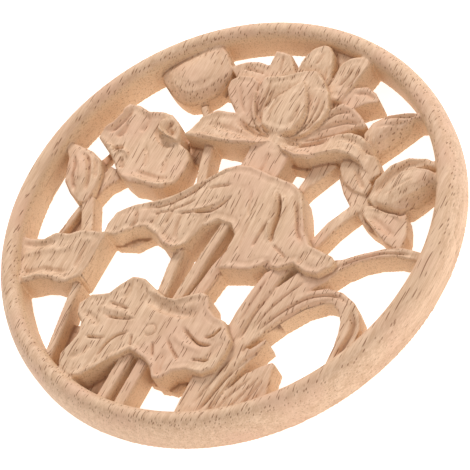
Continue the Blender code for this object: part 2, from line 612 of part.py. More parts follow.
def carve_veins(c):
    veins = {
        "right": [(7.5, -38.5), (12, -41), (16, -42.3), (20, -41.5)],
        "right_fork": [(20, -35.5), (19, -38.5), (16, -39.8)],
        "lower_right": [(4.5, -43.5), (8, -46.5), (12, -49.3)],
        "right_low": [(16, -48), (21.5, -46.3)],
        "lower": [(0.5, -46), (3.2, -50.5)],
        "lower_left": [(-8, -45), (-12, -47.5), (-14, -51.5), (-14.8, -57)],
        "lower_short": [(-7.3, -46), (-6, -49)],
        "left": [(-20, -42.3), (-16, -42.2), (-9, -40.8)],
        "upper_left": [(-20, -37.8), (-13, -38.2)],
        "left_low": [(-21, -51), (-15.5, -49.5)],
    }
    for name, line in veins.items():
        ends = {0, len(line) - 1}
        path = [(*p, VEIN_END if i in ends else VEIN_DEEP) for i, p in enumerate(line)]
        c.groove(f"lower_leaf_vein_{name}", path, 0.5)
    c.groove(
        "middle_leaf_fold_right",
        [(13.5, 13, 10.4), (16, 9.5, 9), (17.5, 5, 8.4), (18.5, 0, 8.6), (20, -4, 9.6)], 0.9,
    )
    c.groove("middle_leaf_fold_left", [(-9, -1.5, 9.9), (-5, 1, 9.3), (-0.3, 8, 10.3)], 0.7)
    c.groove("middle_leaf_fold_top", [(-9.5, 7.5, 10.6), (-2.5, 11.3, 10.6)], 0.7)


def finish(ring, blocks, cuts, carving_material):
    join = ring.modifiers.new("carved_blocks", "BOOLEAN")
    join.operation = "UNION"
    join.operand_type = "COLLECTION"
    join.collection = blocks
    join.solver = "EXACT"
    carve = ring.modifiers.new("knife_cuts", "BOOLEAN")
    carve.operation = "DIFFERENCE"
    carve.operand_type = "COLLECTION"
    carve.collection = cuts
    carve.solver = "EXACT"
    ring.data.materials.append(carving_material)


def add_waste_below(cuts):
    """The board below the back, sawn away so that the back is flat."""
    half = 0.6 * DIAMETER
    levels = (-4 * SAW_ALLOWANCE, 0)
    corners = [(x, y, z) for z in levels for y in (-half, half) for x in (-half, half)]
    sides = [(0, 2, 3, 1), (4, 5, 7, 6), (0, 1, 5, 4), (2, 6, 7, 3), (0, 4, 6, 2), (1, 3, 7, 5)]
    add_mesh("waste_below_back", corners, sides, cuts)


def main():
    clear_scene()
    part = collection("carved_wood_rosette")
    blocks = collection("carving_blocks", hidden=True)
    cuts = collection("carving_cuts", hidden=True)
    ring = build_ring(part)
    c = Carving(blocks, cuts)
    carve_seed_pod(c)
    carve_flower(c)
    carve_buds(c)
    carve_leaves(c)
    carve_stems(c)
    carve_grass(c)
    carve_veins(c)
    add_waste_below(cuts)
    finish(ring, blocks, cuts, wood())


main()
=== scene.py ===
"""The looks of a carved wood rosette.

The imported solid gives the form. This script works the finer relief into a copy of it,
gives it bare wood, and sets it on a pale floor under soft studio light.
"""

import json
import logging
import math
from dataclasses import dataclass
from enum import Enum

import bpy
import numpy as np
from mathutils import Matrix, Vector
from mathutils.bvhtree import BVHTree

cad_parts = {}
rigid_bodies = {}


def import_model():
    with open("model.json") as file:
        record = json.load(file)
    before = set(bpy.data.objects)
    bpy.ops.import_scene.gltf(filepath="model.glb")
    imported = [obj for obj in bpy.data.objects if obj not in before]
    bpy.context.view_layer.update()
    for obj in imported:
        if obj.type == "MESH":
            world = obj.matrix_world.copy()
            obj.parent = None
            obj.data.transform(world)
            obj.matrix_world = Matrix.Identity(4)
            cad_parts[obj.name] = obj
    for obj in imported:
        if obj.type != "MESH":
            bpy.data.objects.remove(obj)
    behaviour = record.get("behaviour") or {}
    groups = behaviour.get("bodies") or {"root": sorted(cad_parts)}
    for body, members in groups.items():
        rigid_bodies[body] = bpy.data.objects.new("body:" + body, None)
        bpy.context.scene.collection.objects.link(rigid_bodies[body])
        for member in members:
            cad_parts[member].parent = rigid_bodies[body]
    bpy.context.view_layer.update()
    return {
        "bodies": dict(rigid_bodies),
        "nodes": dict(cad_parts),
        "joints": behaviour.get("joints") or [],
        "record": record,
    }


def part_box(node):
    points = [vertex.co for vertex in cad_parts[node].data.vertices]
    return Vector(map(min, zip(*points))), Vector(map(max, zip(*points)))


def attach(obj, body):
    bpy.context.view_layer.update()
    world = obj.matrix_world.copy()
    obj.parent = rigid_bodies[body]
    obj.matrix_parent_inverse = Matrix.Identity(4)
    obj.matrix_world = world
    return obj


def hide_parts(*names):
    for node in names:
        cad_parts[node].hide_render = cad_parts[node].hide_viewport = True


LOG = logging.getLogger("rosette")
MM = 0.001
Point = tuple[float, float]
Colour = tuple[float, float, float]


# Node trees


class Value:
    """A number that flows through a node tree, worked with by Python's operators."""

    def __init__(self, nodes: "Nodes", socket: bpy.types.NodeSocket) -> None:
        """Keeps the socket that carries the number.

        Args:
            nodes: what adds nodes to the tree.
            socket: the output that carries the number.
        """
        self.nodes = nodes
        self.socket = socket

    def __add__(self, other: "Value | float") -> "Value":
        """The sum."""
        return self.nodes.math("ADD", self, other)

    def __sub__(self, other: "Value | float") -> "Value":
        """The difference."""
        return self.nodes.math("SUBTRACT", self, other)

    def __rsub__(self, other: float) -> "Value":
        """The difference, taken from a plain number."""
        return self.nodes.math("SUBTRACT", other, self)

    def __mul__(self, other: "Value | float") -> "Value":
        """The product."""
        return self.nodes.math("MULTIPLY", self, other)

    __radd__ = __add__
    __rmul__ = __mul__

    def step(self, low: float, high: float) -> "Value":
        """A soft step.

        Args:
            low: where the step is 0.
            high: where the step is 1, which may be below low.

        Returns:
            A value from 0 to 1.
        """
        node = self.nodes.add(
            "ShaderNodeMapRange",
            {"interpolation_type": "SMOOTHSTEP"},
            {"Value": self, "From Min": low, "From Max": high},
        )
        return Value(self.nodes, node.outputs["Result"])


class Nodes:
    """Adds nodes to one tree."""

    def __init__(self, tree: bpy.types.NodeTree) -> None:
        """Keeps the tree.

        Args:
            tree: the tree that is built.
        """
        self.tree = tree

    def add(self, kind: str, settings: dict, inputs: dict) -> bpy.types.Node:
        """Adds a node.

        Args:
            kind: the node's type.
            settings: its settings by name, set first.
            inputs: what feeds its sockets, by name or place: a value, a socket or a constant.

        Returns:
            The node.
        """
        node = self.tree.nodes.new(kind)
        for name, setting in settings.items():
            setattr(node, name, setting)
        for key, source in inputs.items():
            if isinstance(source, Value):
                self.tree.links.new(source.socket, node.inputs[key])
            elif isinstance(source, bpy.types.NodeSocket):
                self.tree.links.new(source, node.inputs[key])
            else:
                node.inputs[key].default_value = source
        return node

    def math(self, operation: str, *terms: Value | float) -> Value:
        """Adds a Math node.

        Args:
            operation: what it works out.
            terms: the values or numbers that it takes.

        Returns:
            Its result.
        """
        node = self.add("ShaderNodeMath", {"operation": operation}, dict(enumerate(terms)))
        return Value(self, node.outputs[0])

    def vector(self, x: Value | float, y: Value | float, z: Value | float) -> bpy.types.NodeSocket:
        """Joins three numbers into a vector.

        Args:
            x: the first.
            y: the second.
            z: the third.

        Returns:
            The vector's socket.
        """
        return self.add("ShaderNodeCombineXYZ", {}, {"X": x, "Y": y, "Z": z}).outputs[0]

    def split(self, vector: bpy.types.NodeSocket) -> tuple[Value, Value, Value]:
        """Parts a vector into its three numbers.

        Args:
            vector: the vector's socket.

        Returns:
            X, Y and Z.
        """
        node = self.add("ShaderNodeSeparateXYZ", {}, {0: vector})
        x, y, z = (Value(self, output) for output in node.outputs[:3])
        return x, y, z

    def noise(self, vector: bpy.types.NodeSocket, detail: float) -> Value:
        """Soft random values.

        Args:
            vector: the place, in steps of the noise.
            detail: how many finer layers it has.

        Returns:
            A value about 0.5.
        """
        node = self.add("ShaderNodeTexNoise", {}, {"Vector": vector, "Scale": 1.0, "Detail": detail})
        return Value(self, node.outputs["Fac"])

    def mix(
        self, share: Value, first: Colour | bpy.types.NodeSocket, second: Colour | bpy.types.NodeSocket
    ) -> bpy.types.NodeSocket:
        """Mixes two colours.

        Args:
            share: how much of the second one.
            first: a colour or its socket.
            second: a colour or its socket.

        Returns:
            The mixed colour's socket.
        """
        ends = [c if isinstance(c, bpy.types.NodeSocket) else (*c, 1.0) for c in (first, second)]
        inputs = {"Factor": share, 6: ends[0], 7: ends[1]}
        return self.add("ShaderNodeMix", {"data_type": "RGBA"}, inputs).outputs[2]


Place = tuple[Value, Value, Value]


# The wood


@dataclass(frozen=True)
class BareWood:
    """Pale pinkish tan wood, sanded and bare, with open vessels in lines along its grain, which is +Y,
    and with painted shade in its hollows, creases and the walls of its openings.

    Lengths are in millimetres and colours are linear.

    Attributes:
        pale: the lightest wood.
        deep: the darker bands and fibres.
        rosy: the pinker patches.
        hollow_shade: painted shade in the hollows, orange as from light bounced between the walls
            there.
        inner_wall_shade: painted shade on the walls of the openings, orange as from light bounced
            between them.
        vessel_and_crease_shade: the open vessels and the specks on the walls, and painted shade in the
            creases.
        vessel_drift: how far the vessels wander from straight lines.
        vessel_apart: keeps the stretches of neighbouring vessels from lining up.
    """

    pale: Colour = (0.875, 0.602, 0.406)
    deep: Colour = (0.650, 0.405, 0.248)
    rosy: Colour = (0.770, 0.466, 0.315)
    hollow_shade: Colour = (0.820, 0.490, 0.250)
    inner_wall_shade: Colour = (0.770, 0.535, 0.330)
    vessel_and_crease_shade: Colour = (0.250, 0.092, 0.036)
    vessel_spacing: float = 0.68
    vessel_radius: float = 0.150
    vessel_length: float = 5.4
    vessel_drift: float = 6.0
    vessel_apart: float = 90.0
    fibre_width: float = 0.34
    fibre_length: float = 9.0
    band_width: float = 1.7
    band_length: float = 70.0
    patch_size: float = 16.0
    roughness: float = 0.62
    roughness_range: float = 0.14
    specular: float = 0.32
    bump_strength: float = 0.75
    bump_depth: float = 0.16

    def material(self) -> bpy.types.Material:
        """Builds the material.

        Returns:
            The wood.
        """
        wood = bpy.data.materials.new("wood")
        wood.use_nodes = True
        wood.node_tree.nodes.clear()
        nodes = Nodes(wood.node_tree)
        metres = nodes.add("ShaderNodeTexCoord", {}, {}).outputs["Object"]
        place = tuple(part * (1.0 / MM) for part in nodes.split(metres))
        vessels = self.vessels(nodes, place)
        fibre = self.streaks(nodes, place, 1 / self.fibre_width, 1 / self.fibre_length, 2.0)
        rough_range = self.roughness_range
        surface = nodes.add(
            "ShaderNodeBsdfPrincipled",
            {},
            {
                "Base Color": self.colour(nodes, place, fibre, vessels),
                "Roughness": fibre * rough_range + (self.roughness - 0.5 * rough_range),
                "Normal": self.bump(nodes, place, fibre, vessels),
            },
        )
        surface.inputs["Specular IOR Level"].default_value = self.specular
        nodes.add("ShaderNodeOutputMaterial", {}, {"Surface": surface.outputs[0]})
        return wood

    def streaks(
        self, nodes: Nodes, place: Place, across: float, along: float, detail: float
    ) -> Value:
        """Soft random values, drawn out along the grain.

        Args:
            nodes: the material's nodes.
            place: X, Y and Z, in millimetres.
            across: how many steps a millimetre has across the grain.
            along: how many it has along the grain.
            detail: how many finer layers the values have.

        Returns:
            A value about 0.5.
        """
        x, y, z = place
        return nodes.noise(nodes.vector(x * across, y * along, z * across), detail)

    def colour(
        self, nodes: Nodes, place: Place, fibre: Value, vessels: Value
    ) -> bpy.types.NodeSocket:
        """Mixes the wood's colour, with painted shade in the hollows, creases and walls that the piece
        stores.

        Args:
            nodes: the material's nodes.
            place: X, Y and Z, in millimetres.
            fibre: the fine fibres.
            vessels: the open vessels.

        Returns:
            The colour's socket.
        """
        bands = self.streaks(nodes, place, 1 / self.band_width, 1 / self.band_length, 3.0)
        patches = self.streaks(nodes, place, 1 / self.patch_size, 1 / self.patch_size, 1.0)
        specks = self.streaks(nodes, place, 2.4, 1.9, 2.0).step(0.53, 0.63)
        recess_shade, crease_shade, wall, inner_wall = (
            Value(nodes, nodes.add("ShaderNodeAttribute", {"attribute_name": name}, {}).outputs["Fac"])
            for name in ("recess_shade", "crease_shade", "wall", "inner_wall")
        )
        colour = nodes.mix((bands * 0.5 + fibre * 0.5).step(0.30, 0.68), self.pale, self.deep)
        colour = nodes.mix(patches.step(0.42, 0.72) * 0.6, colour, self.rosy)
        # Painted shade: the hollows darker and more orange, as where light is bounced between walls.
        colour = nodes.mix(recess_shade * 0.5, colour, self.hollow_shade)
        # Painted shade: the walls of the openings tinted orange, as by light bounced between them.
        colour = nodes.mix(inner_wall * 0.85, colour, self.inner_wall_shade)
        colour = nodes.mix(specks * (wall * 0.12 + inner_wall * 0.14), colour, self.vessel_and_crease_shade)
        # Painted shade: the creases darkened towards the dark brown of the vessels, less on walls.
        colour = nodes.mix(crease_shade * (0.65 - wall * 0.58), colour, self.vessel_and_crease_shade)
        return nodes.mix(vessels * (0.8 - wall * 0.5), colour, self.vessel_and_crease_shade)

    def bump(
        self, nodes: Nodes, place: Place, fibre: Value, vessels: Value
    ) -> bpy.types.NodeSocket:
        """Roughens the surface with fibres, tool marks and pits, and sinks the vessels.

        Args:
            nodes: the material's nodes.
            place: X, Y and Z, in millimetres.
            fibre: the fine fibres.
            vessels: the open vessels.

        Returns:
            The normal's socket.
        """
        tooled = self.streaks(nodes, place, 0.9, 0.5, 2.0)
        pitted = self.streaks(nodes, place, 3.1, 1.6, 1.0)
        relief = fibre * 0.35 + tooled * 0.7 + pitted * 0.35 - vessels * 0.5
        inputs = {
            "Strength": self.bump_strength,
            "Distance": self.bump_depth * MM,
            "Height": relief,
        }
        return nodes.add("ShaderNodeBump", {}, inputs).outputs[0]

    def vessels(self, nodes: Nodes, place: Place) -> Value:
        """Cuts the open vessels: thin tubes along Y, each seen for a short stretch at a time.

        Args:
            nodes: the material's nodes.
            place: X, Y and Z, in millimetres.

        Returns:
            1 inside an open vessel, 0 on the wood between them.
        """
        x, y, z = place
        drift = self.streaks(nodes, place, 0.03, 0.035, 1.0) * self.vessel_drift
        across = 1 / self.vessel_spacing
        cells = nodes.add(
            "ShaderNodeTexVoronoi",
            {"voronoi_dimensions": "2D", "feature": "F1"},
            {"Vector": nodes.vector((x + drift) * across, z * (0.6 * across), 0.0), "Scale": 1.0},
        )
        one, two, _ = nodes.split(cells.outputs["Color"])
        run = nodes.vector(
            one * self.vessel_apart, y * (1 / self.vessel_length), two * self.vessel_apart
        )
        stretch = nodes.noise(run, 0.0).step(0.49, 0.57)
        outer = self.vessel_radius / self.vessel_spacing
        tube = Value(nodes, cells.outputs["Distance"]).step(outer * 1.25, outer * 0.6)
        return tube * stretch


# The turned ring


@dataclass(frozen=True)
class RingSizes:
    """Sizes of the ring's section, in metres, as in the solid."""

    diameter: float
    thickness: float
    width: float = 7.5 * MM
    crest_inset: float = 4.3 * MM
    outer_wall: float = 3.8 * MM
    inner_wall: float = 8.0 * MM
    steps_round: int = 600
    steps_section: int = 48


class TurnedRing:
    """The plain ring, turned from one section by a tree of geometry nodes."""

    INPUTS = ("Diameter", "Thickness", "Width", "Crest Inset", "Outer Wall", "Inner Wall")
    # How soon the walls below the crest reach the full width, and how fast they run down
    WALL_SPREAD = 2.5
    WALL_DROP = 2.2

    def __init__(self, sizes: RingSizes) -> None:
        """Keeps the ring's sizes.

        Args:
            sizes: the sizes of its section.
        """
        self.sizes = sizes

    def tree(self, wood: bpy.types.Material) -> bpy.types.NodeTree:
        """Builds the tree: a grid is rolled up, once round the ring and once round its section.

        Args:
            wood: the ring's material.

        Returns:
            The tree.
        """
        tree = bpy.data.node_groups.new("turned_ring", "GeometryNodeTree")
        for name in self.INPUTS:
            tree.interface.new_socket(name, in_out="INPUT", socket_type="NodeSocketFloat")
        for name in ("Steps Round", "Steps Section"):
            tree.interface.new_socket(name, in_out="INPUT", socket_type="NodeSocketInt")
        tree.interface.new_socket("Geometry", in_out="OUTPUT", socket_type="NodeSocketGeometry")
        nodes = Nodes(tree)
        entry = nodes.add("NodeGroupInput", {}, {})
        size = {name: Value(nodes, entry.outputs[name]) for name in self.INPUTS}
        rows, columns = (Value(nodes, entry.outputs[n]) + 1.0 for n in ("Steps Round", "Steps Section"))
        grid = nodes.add(
            "GeometryNodeMeshGrid",
            {},
            {"Size X": math.tau, "Size Y": math.tau, "Vertices X": rows, "Vertices Y": columns},
        )
        turn, section, _ = nodes.split(nodes.add("GeometryNodeInputPosition", {}, {}).outputs[0])
        across = nodes.math("COSINE", section)
        rise = nodes.math("SINE", section)
        outer = nodes.math("GREATER_THAN", across, 0.0)
        upper = nodes.math("GREATER_THAN", rise, 0.0)
        reach = outer * size["Crest Inset"] + (1 - outer) * (size["Width"] - size["Crest Inset"])
        wall = outer * size["Outer Wall"] + (1 - outer) * size["Inner Wall"]
        widened = across * self.WALL_SPREAD
        spread = nodes.math("MAXIMUM", nodes.math("MINIMUM", widened, 1.0), -1.0)
        sideways = (upper * across + (1 - upper) * spread) * reach
        low = nodes.math("MAXIMUM", rise * self.WALL_DROP + 1.0, 0.0) * wall
        height = upper * (wall + rise * (size["Thickness"] - wall)) + (1 - upper) * low
        radius = size["Diameter"] * 0.5 - size["Crest Inset"] + sideways
        place = nodes.vector(
            nodes.math("COSINE", turn) * radius, nodes.math("SINE", turn) * radius, height
        )
        rolled = nodes.add(
            "GeometryNodeSetPosition", {}, {"Geometry": grid.outputs["Mesh"], "Position": place}
        )
        closed = nodes.add(
            "GeometryNodeMergeByDistance", {}, {"Geometry": rolled.outputs[0], "Distance": 0.002 * MM}
        )
        real = nodes.add("GeometryNodeRealizeInstances", {}, {"Geometry": closed.outputs[0]})
        dressed = nodes.add(
            "GeometryNodeSetMaterial", {}, {"Geometry": real.outputs[0], "Material": wood}
        )
        nodes.add("NodeGroupOutput", {}, {"Geometry": dressed.outputs[0]})
        return tree

    def build(self, wood: bpy.types.Material) -> bpy.types.Mesh:
        """Runs the tree.

        Args:
            wood: the ring's material.

        Returns:
            The ring as a plain mesh.
        """
        holder = bpy.data.objects.new("turned_ring", bpy.data.meshes.new("turned_ring"))
        bpy.context.scene.collection.objects.link(holder)
        modifier = holder.modifiers.new("turned ring", "NODES")
        tree = self.tree(wood)
        sizes = self.sizes
        given = {
            "Diameter": sizes.diameter,
            "Thickness": sizes.thickness,
            "Width": sizes.width,
            "Crest Inset": sizes.crest_inset,
            "Outer Wall": sizes.outer_wall,
            "Inner Wall": sizes.inner_wall,
            "Steps Round": sizes.steps_round,
            "Steps Section": sizes.steps_section,
        }
        modifier.node_group = tree
        for item in tree.interface.items_tree:
            if item.in_out == "INPUT":
                modifier[item.identifier] = given[item.name]
        mesh = plain_mesh(holder)
        bpy.data.objects.remove(holder)
        return mesh


# Mesh helpers


def plain_mesh(item: bpy.types.Object) -> bpy.types.Mesh:
    """Turns an object and its modifiers into a plain mesh.

    Args:
        item: the object.

    Returns:
        The mesh.
    """
    graph = bpy.context.evaluated_depsgraph_get()
    graph.update()
    return bpy.data.meshes.new_from_object(item.evaluated_get(graph))


def points_of(mesh: bpy.types.Mesh) -> np.ndarray:
    """The mesh's points, one row each, in metres."""
    points = np.empty(len(mesh.vertices) * 3, np.float32)
    mesh.vertices.foreach_get("co", points)
    return points.reshape(-1, 3).astype(float)


def normals_of(mesh: bpy.types.Mesh) -> np.ndarray:
    """The mesh's vertex normals, one row each."""
    normals = np.empty(len(mesh.vertices) * 3, np.float32)
    mesh.vertex_normals.foreach_get("vector", normals)
    return normals.reshape(-1, 3).astype(float)


def faces_of(mesh: bpy.types.Mesh) -> np.ndarray:
    """The mesh's triangles, one row of point numbers each."""
    mesh.calc_loop_triangles()
    faces = np.empty(len(mesh.loop_triangles) * 3, np.int32)
    mesh.loop_triangles.foreach_get("vertices", faces)
    return faces.reshape(-1, 3)


def soft_step(low: float, high: float, values: np.ndarray) -> np.ndarray:
    """A soft step from 0 at low to 1 at high."""
    share = np.clip((values - low) / (high - low), 0.0, 1.0)
    return share * share * (3.0 - 2.0 * share)


# Relief


class Tool(Enum):
    """How a line is worked into the face."""

    GROOVE = "groove"
    RIDGE = "ridge"
    LAP = "lap"
    ROUND = "round"


@dataclass(frozen=True)
class Line:
    """One line of the carving.

    Attributes:
        tool: how it is worked.
        width: how far from the line it reaches, in millimetres.
        depth: how deep or high it is, in millimetres.
        points: where it runs on the face, in millimetres. A lap is low on the right of its run,
            and a rounded edge has its gap there.
        ends: the share of its length over which each end fades.
        steps: how many parts its curve has between two points.
        bell: how wide a groove or ridge is at half its height, as a share of its width.
        bell_edge: how steep its sides are.
        lift: how high the upper side of a lap stands, as a share of its depth.
        lift_reach: how far the lift reaches, as a share of the width.
        fall: how suddenly a rounded edge falls away.
        beyond: how far past a rounded edge the fall is carried, in millimetres.
    """

    tool: Tool
    width: float
    depth: float
    points: tuple[Point, ...]
    ends: float = 0.25
    steps: int = 8
    bell: float = 0.55
    bell_edge: float = 2.4
    lift: float = 0.35
    lift_reach: float = 1.5
    fall: float = 1.8
    beyond: float = 1.5

    def course(self) -> np.ndarray:
        """The line's points, closer together, along a smooth curve."""
        given = np.array(self.points)
        padded = np.vstack([2 * given[0] - given[1], given, 2 * given[-1] - given[-2]])
        share = np.linspace(0.0, 1.0, self.steps, endpoint=False)[:, None]
        pieces = []
        for before, start, stop, after in zip(padded, padded[1:], padded[2:], padded[3:]):
            rate = (stop - before) * share
            bend = (2 * before - 5 * start + 4 * stop - after) * share**2
            turn = (3 * start - before - 3 * stop + after) * share**3
            pieces.append(0.5 * (2 * start + rate + bend + turn))
        return np.vstack([*pieces, given[-1:]])

    def height(self, x: np.ndarray, y: np.ndarray) -> np.ndarray:
        """How much the line raises or lowers the face.

        Args:
            x: where, in millimetres.
            y: where, in millimetres.

        Returns:
            The change of height at each place, in millimetres.
        """
        course = self.course()
        runs = np.diff(course, axis=0)
        lengths = np.hypot(*runs.T)
        travelled = np.concatenate([[0.0], np.cumsum(lengths)])
        nearest = np.full(x.shape, np.inf)
        side = np.zeros(x.shape)
        along = np.zeros(x.shape)
        for start, run, length, before in zip(course, runs, lengths, travelled):
            if length < 1e-9:
                continue
            over_x, over_y = x - start[0], y - start[1]
            share = np.clip((over_x * run[0] + over_y * run[1]) / length**2, 0.0, 1.0)
            gap = np.hypot(over_x - share * run[0], over_y - share * run[1])
            closer = gap < nearest
            nearest = np.where(closer, gap, nearest)
            side = np.where(closer, np.sign(run[0] * over_y - run[1] * over_x), side)
            along = np.where(closer, (before + share * length) / travelled[-1], along)
        fade = soft_step(0.0, self.ends, along) * soft_step(0.0, self.ends, 1.0 - along)
        if self.tool is Tool.LAP:
            low = -np.exp(-nearest / self.width) * (side < 0)
            high = self.lift * np.exp(-nearest / (self.lift_reach * self.width)) * (side >= 0)
            return self.depth * fade * (low + high)
        if self.tool is Tool.ROUND:
            fall = np.clip(1.0 - nearest / self.width, 0.0, 1.0) ** self.fall
            beyond = np.exp(-((nearest / self.beyond) ** 4))
            return -self.depth * fade * np.where(side >= 0, fall, beyond)
        bell = np.exp(-((nearest / (self.bell * self.width)) ** self.bell_edge))
        return self.depth * fade * bell * (1.0 if self.tool is Tool.RIDGE else -1.0)


def groove(width: float, depth: float, *points: Point) -> Line:
    """A cut line, as wide and as deep as given, in millimetres."""
    return Line(Tool.GROOVE, width, depth, points)


def ridge(width: float, depth: float, *points: Point) -> Line:
    """A raised line, as wide and as high as given, in millimetres."""
    return Line(Tool.RIDGE, width, depth, points)


def lap(width: float, depth: float, *points: Point) -> Line:
    """The edge of one surface over another that lies on the right of its run."""
    return Line(Tool.LAP, width, depth, points)


def rounded(width: float, depth: float, *points: Point) -> Line:
    """A free edge that is rounded over, where the gap lies on the right of its run."""
    return Line(Tool.ROUND, width, depth, points)


LOWER_LEAF = (
    groove(0.8, 1.5, (7.0, -38.3), (12.0, -41.0), (16.0, -42.3), (20.6, -41.4)),
    groove(0.7, 1.2, (20.3, -35.0), (19.0, -38.5), (15.6, -39.9)),
    groove(0.7, 1.2, (4.0, -43.1), (8.0, -46.5), (12.6, -49.7)),
    groove(0.7, 1.1, (15.4, -48.1), (22.0, -46.2)),
    groove(0.6, 1.1, (0.3, -45.6), (3.4, -50.9)),
    groove(0.7, 1.2, (-7.4, -44.6), (-12.0, -47.5), (-14.0, -51.5), (-14.8, -57.5)),
    groove(0.6, 1.0, (-7.5, -45.4), (-5.8, -49.6)),
    groove(0.7, 1.1, (-20.8, -42.3), (-16.0, -42.2), (-8.4, -40.6)),
    groove(0.7, 1.1, (-20.8, -37.8), (-12.4, -38.2)),
    groove(0.7, 1.1, (-21.8, -51.2), (-14.8, -49.3)),
    groove(2.6, 1.2, (-11.0, -32.5), (-3.0, -34.5), (5.0, -34.5), (11.0, -31.5)),
    groove(2.0, 0.8, (8.5, -57.0), (6.5, -51.0), (5.5, -47.0)),
    groove(1.6, 0.7, (-22.5, -60.0), (-19.5, -55.5), (-18.0, -52.0)),
    groove(1.8, 0.7, (-27.0, -43.0), (-22.5, -44.5), (-19.0, -46.5)),
    groove(1.8, 0.7, (23.0, -38.5), (21.5, -43.5), (19.0, -49.5)),
    groove(1.6, 0.6, (-17.0, -29.5), (-16.0, -33.0), (-17.5, -36.0)),
    ridge(1.2, 0.6, (-12.0, -30.0), (-5.0, -31.5), (1.0, -31.0), (5.0, -28.5)),
    ridge(1.6, 0.5, (-24.0, -40.5), (-15.0, -40.0), (-8.0, -41.0)),
    ridge(1.6, 0.5, (5.0, -41.5), (11.0, -43.8), (19.0, -44.8)),
    groove(0.5, 0.5, (-4.6, -42.5), (-2.5, -40.4), (-0.4, -42.5), (-2.5, -44.6), (-4.6, -42.5)),
)

MIDDLE_LEAF = (
    ridge(0.9, 0.6, (-28.6, -4.2), (-20.6, -0.4), (-14.6, 5.6), (-12.0, 10.8), (-7.4, 15.3),
          (-3.4, 17.2)),
    groove(0.7, 0.9, (-28.4, -5.6), (-20.2, -2.0), (-13.6, 4.2), (-10.8, 9.6), (-6.6, 13.9),
           (-2.6, 16.0)),
    groove(0.7, 0.7, (-24.0, -6.2), (-17.6, -3.4), (-12.6, 0.8), (-9.8, 5.0)),
    groove(0.9, 0.8, (-9.8, 7.2), (-6.0, 9.2), (-1.8, 11.0)),
    groove(0.8, 1.0, (-16.0, -4.4), (-10.4, -1.8), (-5.0, 0.6), (-1.8, 4.5), (0.2, 9.0)),
    groove(0.9, 0.7, (-13.0, -2.0), (-12.5, -7.0), (-10.5, -13.0)),
    ridge(1.4, 0.7, (-17.0, -7.0), (-16.0, -12.0), (-12.0, -14.2), (-8.0, -13.8), (-5.6, -10.0)),
    groove(1.2, 0.9, (-29.5, -5.0), (-27.5, -9.0), (-28.0, -13.5)),
    groove(1.2, 0.7, (-22.0, -2.5), (-21.0, -6.0), (-22.0, -9.5)),
    groove(1.2, 0.7, (-18.5, 0.5), (-16.5, -4.0), (-17.0, -9.0)),
    ridge(2.6, 1.1, (13.8, 13.0), (15.4, 9.8), (16.9, 5.2), (17.8, 0.4), (19.4, -3.6)),
    groove(0.75, 1.6, (13.8, 13.0), (16.2, 9.6), (17.7, 5.2), (18.6, 0.4), (20.2, -4.4)),
    ridge(1.2, 0.5, (15.0, 14.0), (18.2, 9.5), (19.8, 4.0), (20.6, -1.0)),
    groove(0.8, 0.9, (15.9, 3.5), (15.3, -2.0), (15.0, -8.0)),
    groove(0.8, 1.0, (20.0, 13.0), (23.6, 7.0), (26.4, 2.0), (30.5, -1.8)),
    ridge(1.2, 0.5, (22.0, 13.0), (25.6, 7.0), (28.4, 2.5)),
    groove(0.8, 0.8, (20.6, -4.4), (24.0, -6.0), (28.0, -8.0)),
    groove(0.8, 0.6, (10.0, 2.0), (10.6, -4.0), (11.5, -11.0)),
    groove(0.7, 0.5, (5.0, 12.0), (7.0, 6.0), (9.5, 1.0)),
    groove(1.8, 1.2, (21.5, -10.5), (24.0, -12.5)),
    groove(1.6, 0.7, (33.0, -3.5), (32.5, -7.0), (31.5, -9.0)),
)

CURLED_LEAF = (
    ridge(1.1, 0.9, (-53.8, 30.0), (-53.4, 25.5), (-56.0, 19.0), (-56.8, 17.0)),
    groove(1.6, 1.3, (-51.4, 29.0), (-51.6, 25.0), (-53.0, 21.0), (-54.6, 17.6)),
    groove(1.4, 1.0, (-50.5, 24.0), (-50.0, 20.0), (-51.5, 17.0)),
    ridge(1.0, 0.7, (-53.5, 13.4), (-51.0, 13.6), (-49.6, 11.5)),
    ridge(1.0, 0.7, (-48.4, 10.4), (-47.4, 13.0), (-45.0, 13.2), (-43.0, 10.6)),
    groove(1.3, 1.2, (-50.2, 14.0), (-48.6, 13.8), (-47.0, 15.0)),
    groove(1.3, 1.0, (-46.0, 11.4), (-44.6, 8.8), (-43.0, 7.6)),
    ridge(1.3, 0.9, (-42.0, 5.0), (-36.0, 4.8), (-30.0, 4.4), (-24.4, 5.8), (-22.8, 9.0)),
    groove(1.5, 0.8, (-40.0, 7.6), (-33.0, 7.2), (-27.6, 7.4), (-25.4, 10.5)),
    ridge(1.0, 1.1, (-37.6, 28.4), (-37.0, 23.4), (-33.0, 21.4), (-29.0, 21.6)),
    groove(1.6, 1.4, (-34.6, 27.6), (-34.8, 24.2), (-31.4, 22.8)),
    groove(1.4, 0.9, (-38.6, 26.0), (-38.4, 22.4), (-34.6, 19.8), (-30.0, 19.6)),
    groove(1.4, 0.7, (-45.0, 28.5), (-43.5, 25.0), (-44.5, 21.0)),
    groove(1.2, 0.6, (-41.0, 18.0), (-37.5, 14.0), (-36.0, 9.0)),
    groove(1.2, 0.6, (-31.0, 16.0), (-29.5, 12.0), (-29.0, 9.0)),
)

LEFT_LEAF = (
    ridge(1.4, 0.9, (-60.0, -38.0), (-55.0, -39.2), (-50.0, -36.8), (-44.0, -35.4), (-38.0, -34.6)),
    groove(1.6, 0.9, (-60.0, -35.0), (-54.0, -36.0), (-49.0, -33.6), (-43.0, -32.6), (-38.5, -31.5)),
    ridge(1.3, 0.8, (-37.0, -33.0), (-36.6, -26.0), (-36.6, -18.5)),
    groove(1.6, 0.8, (-39.0, -31.0), (-39.0, -25.0), (-39.4, -19.0)),
    ridge(1.8, 0.5, (-63.0, -32.5), (-55.0, -28.5), (-47.0, -25.5), (-41.0, -21.5)),
    groove(1.4, 0.6, (-63.0, -27.5), (-55.0, -26.0), (-48.0, -22.5)),
)

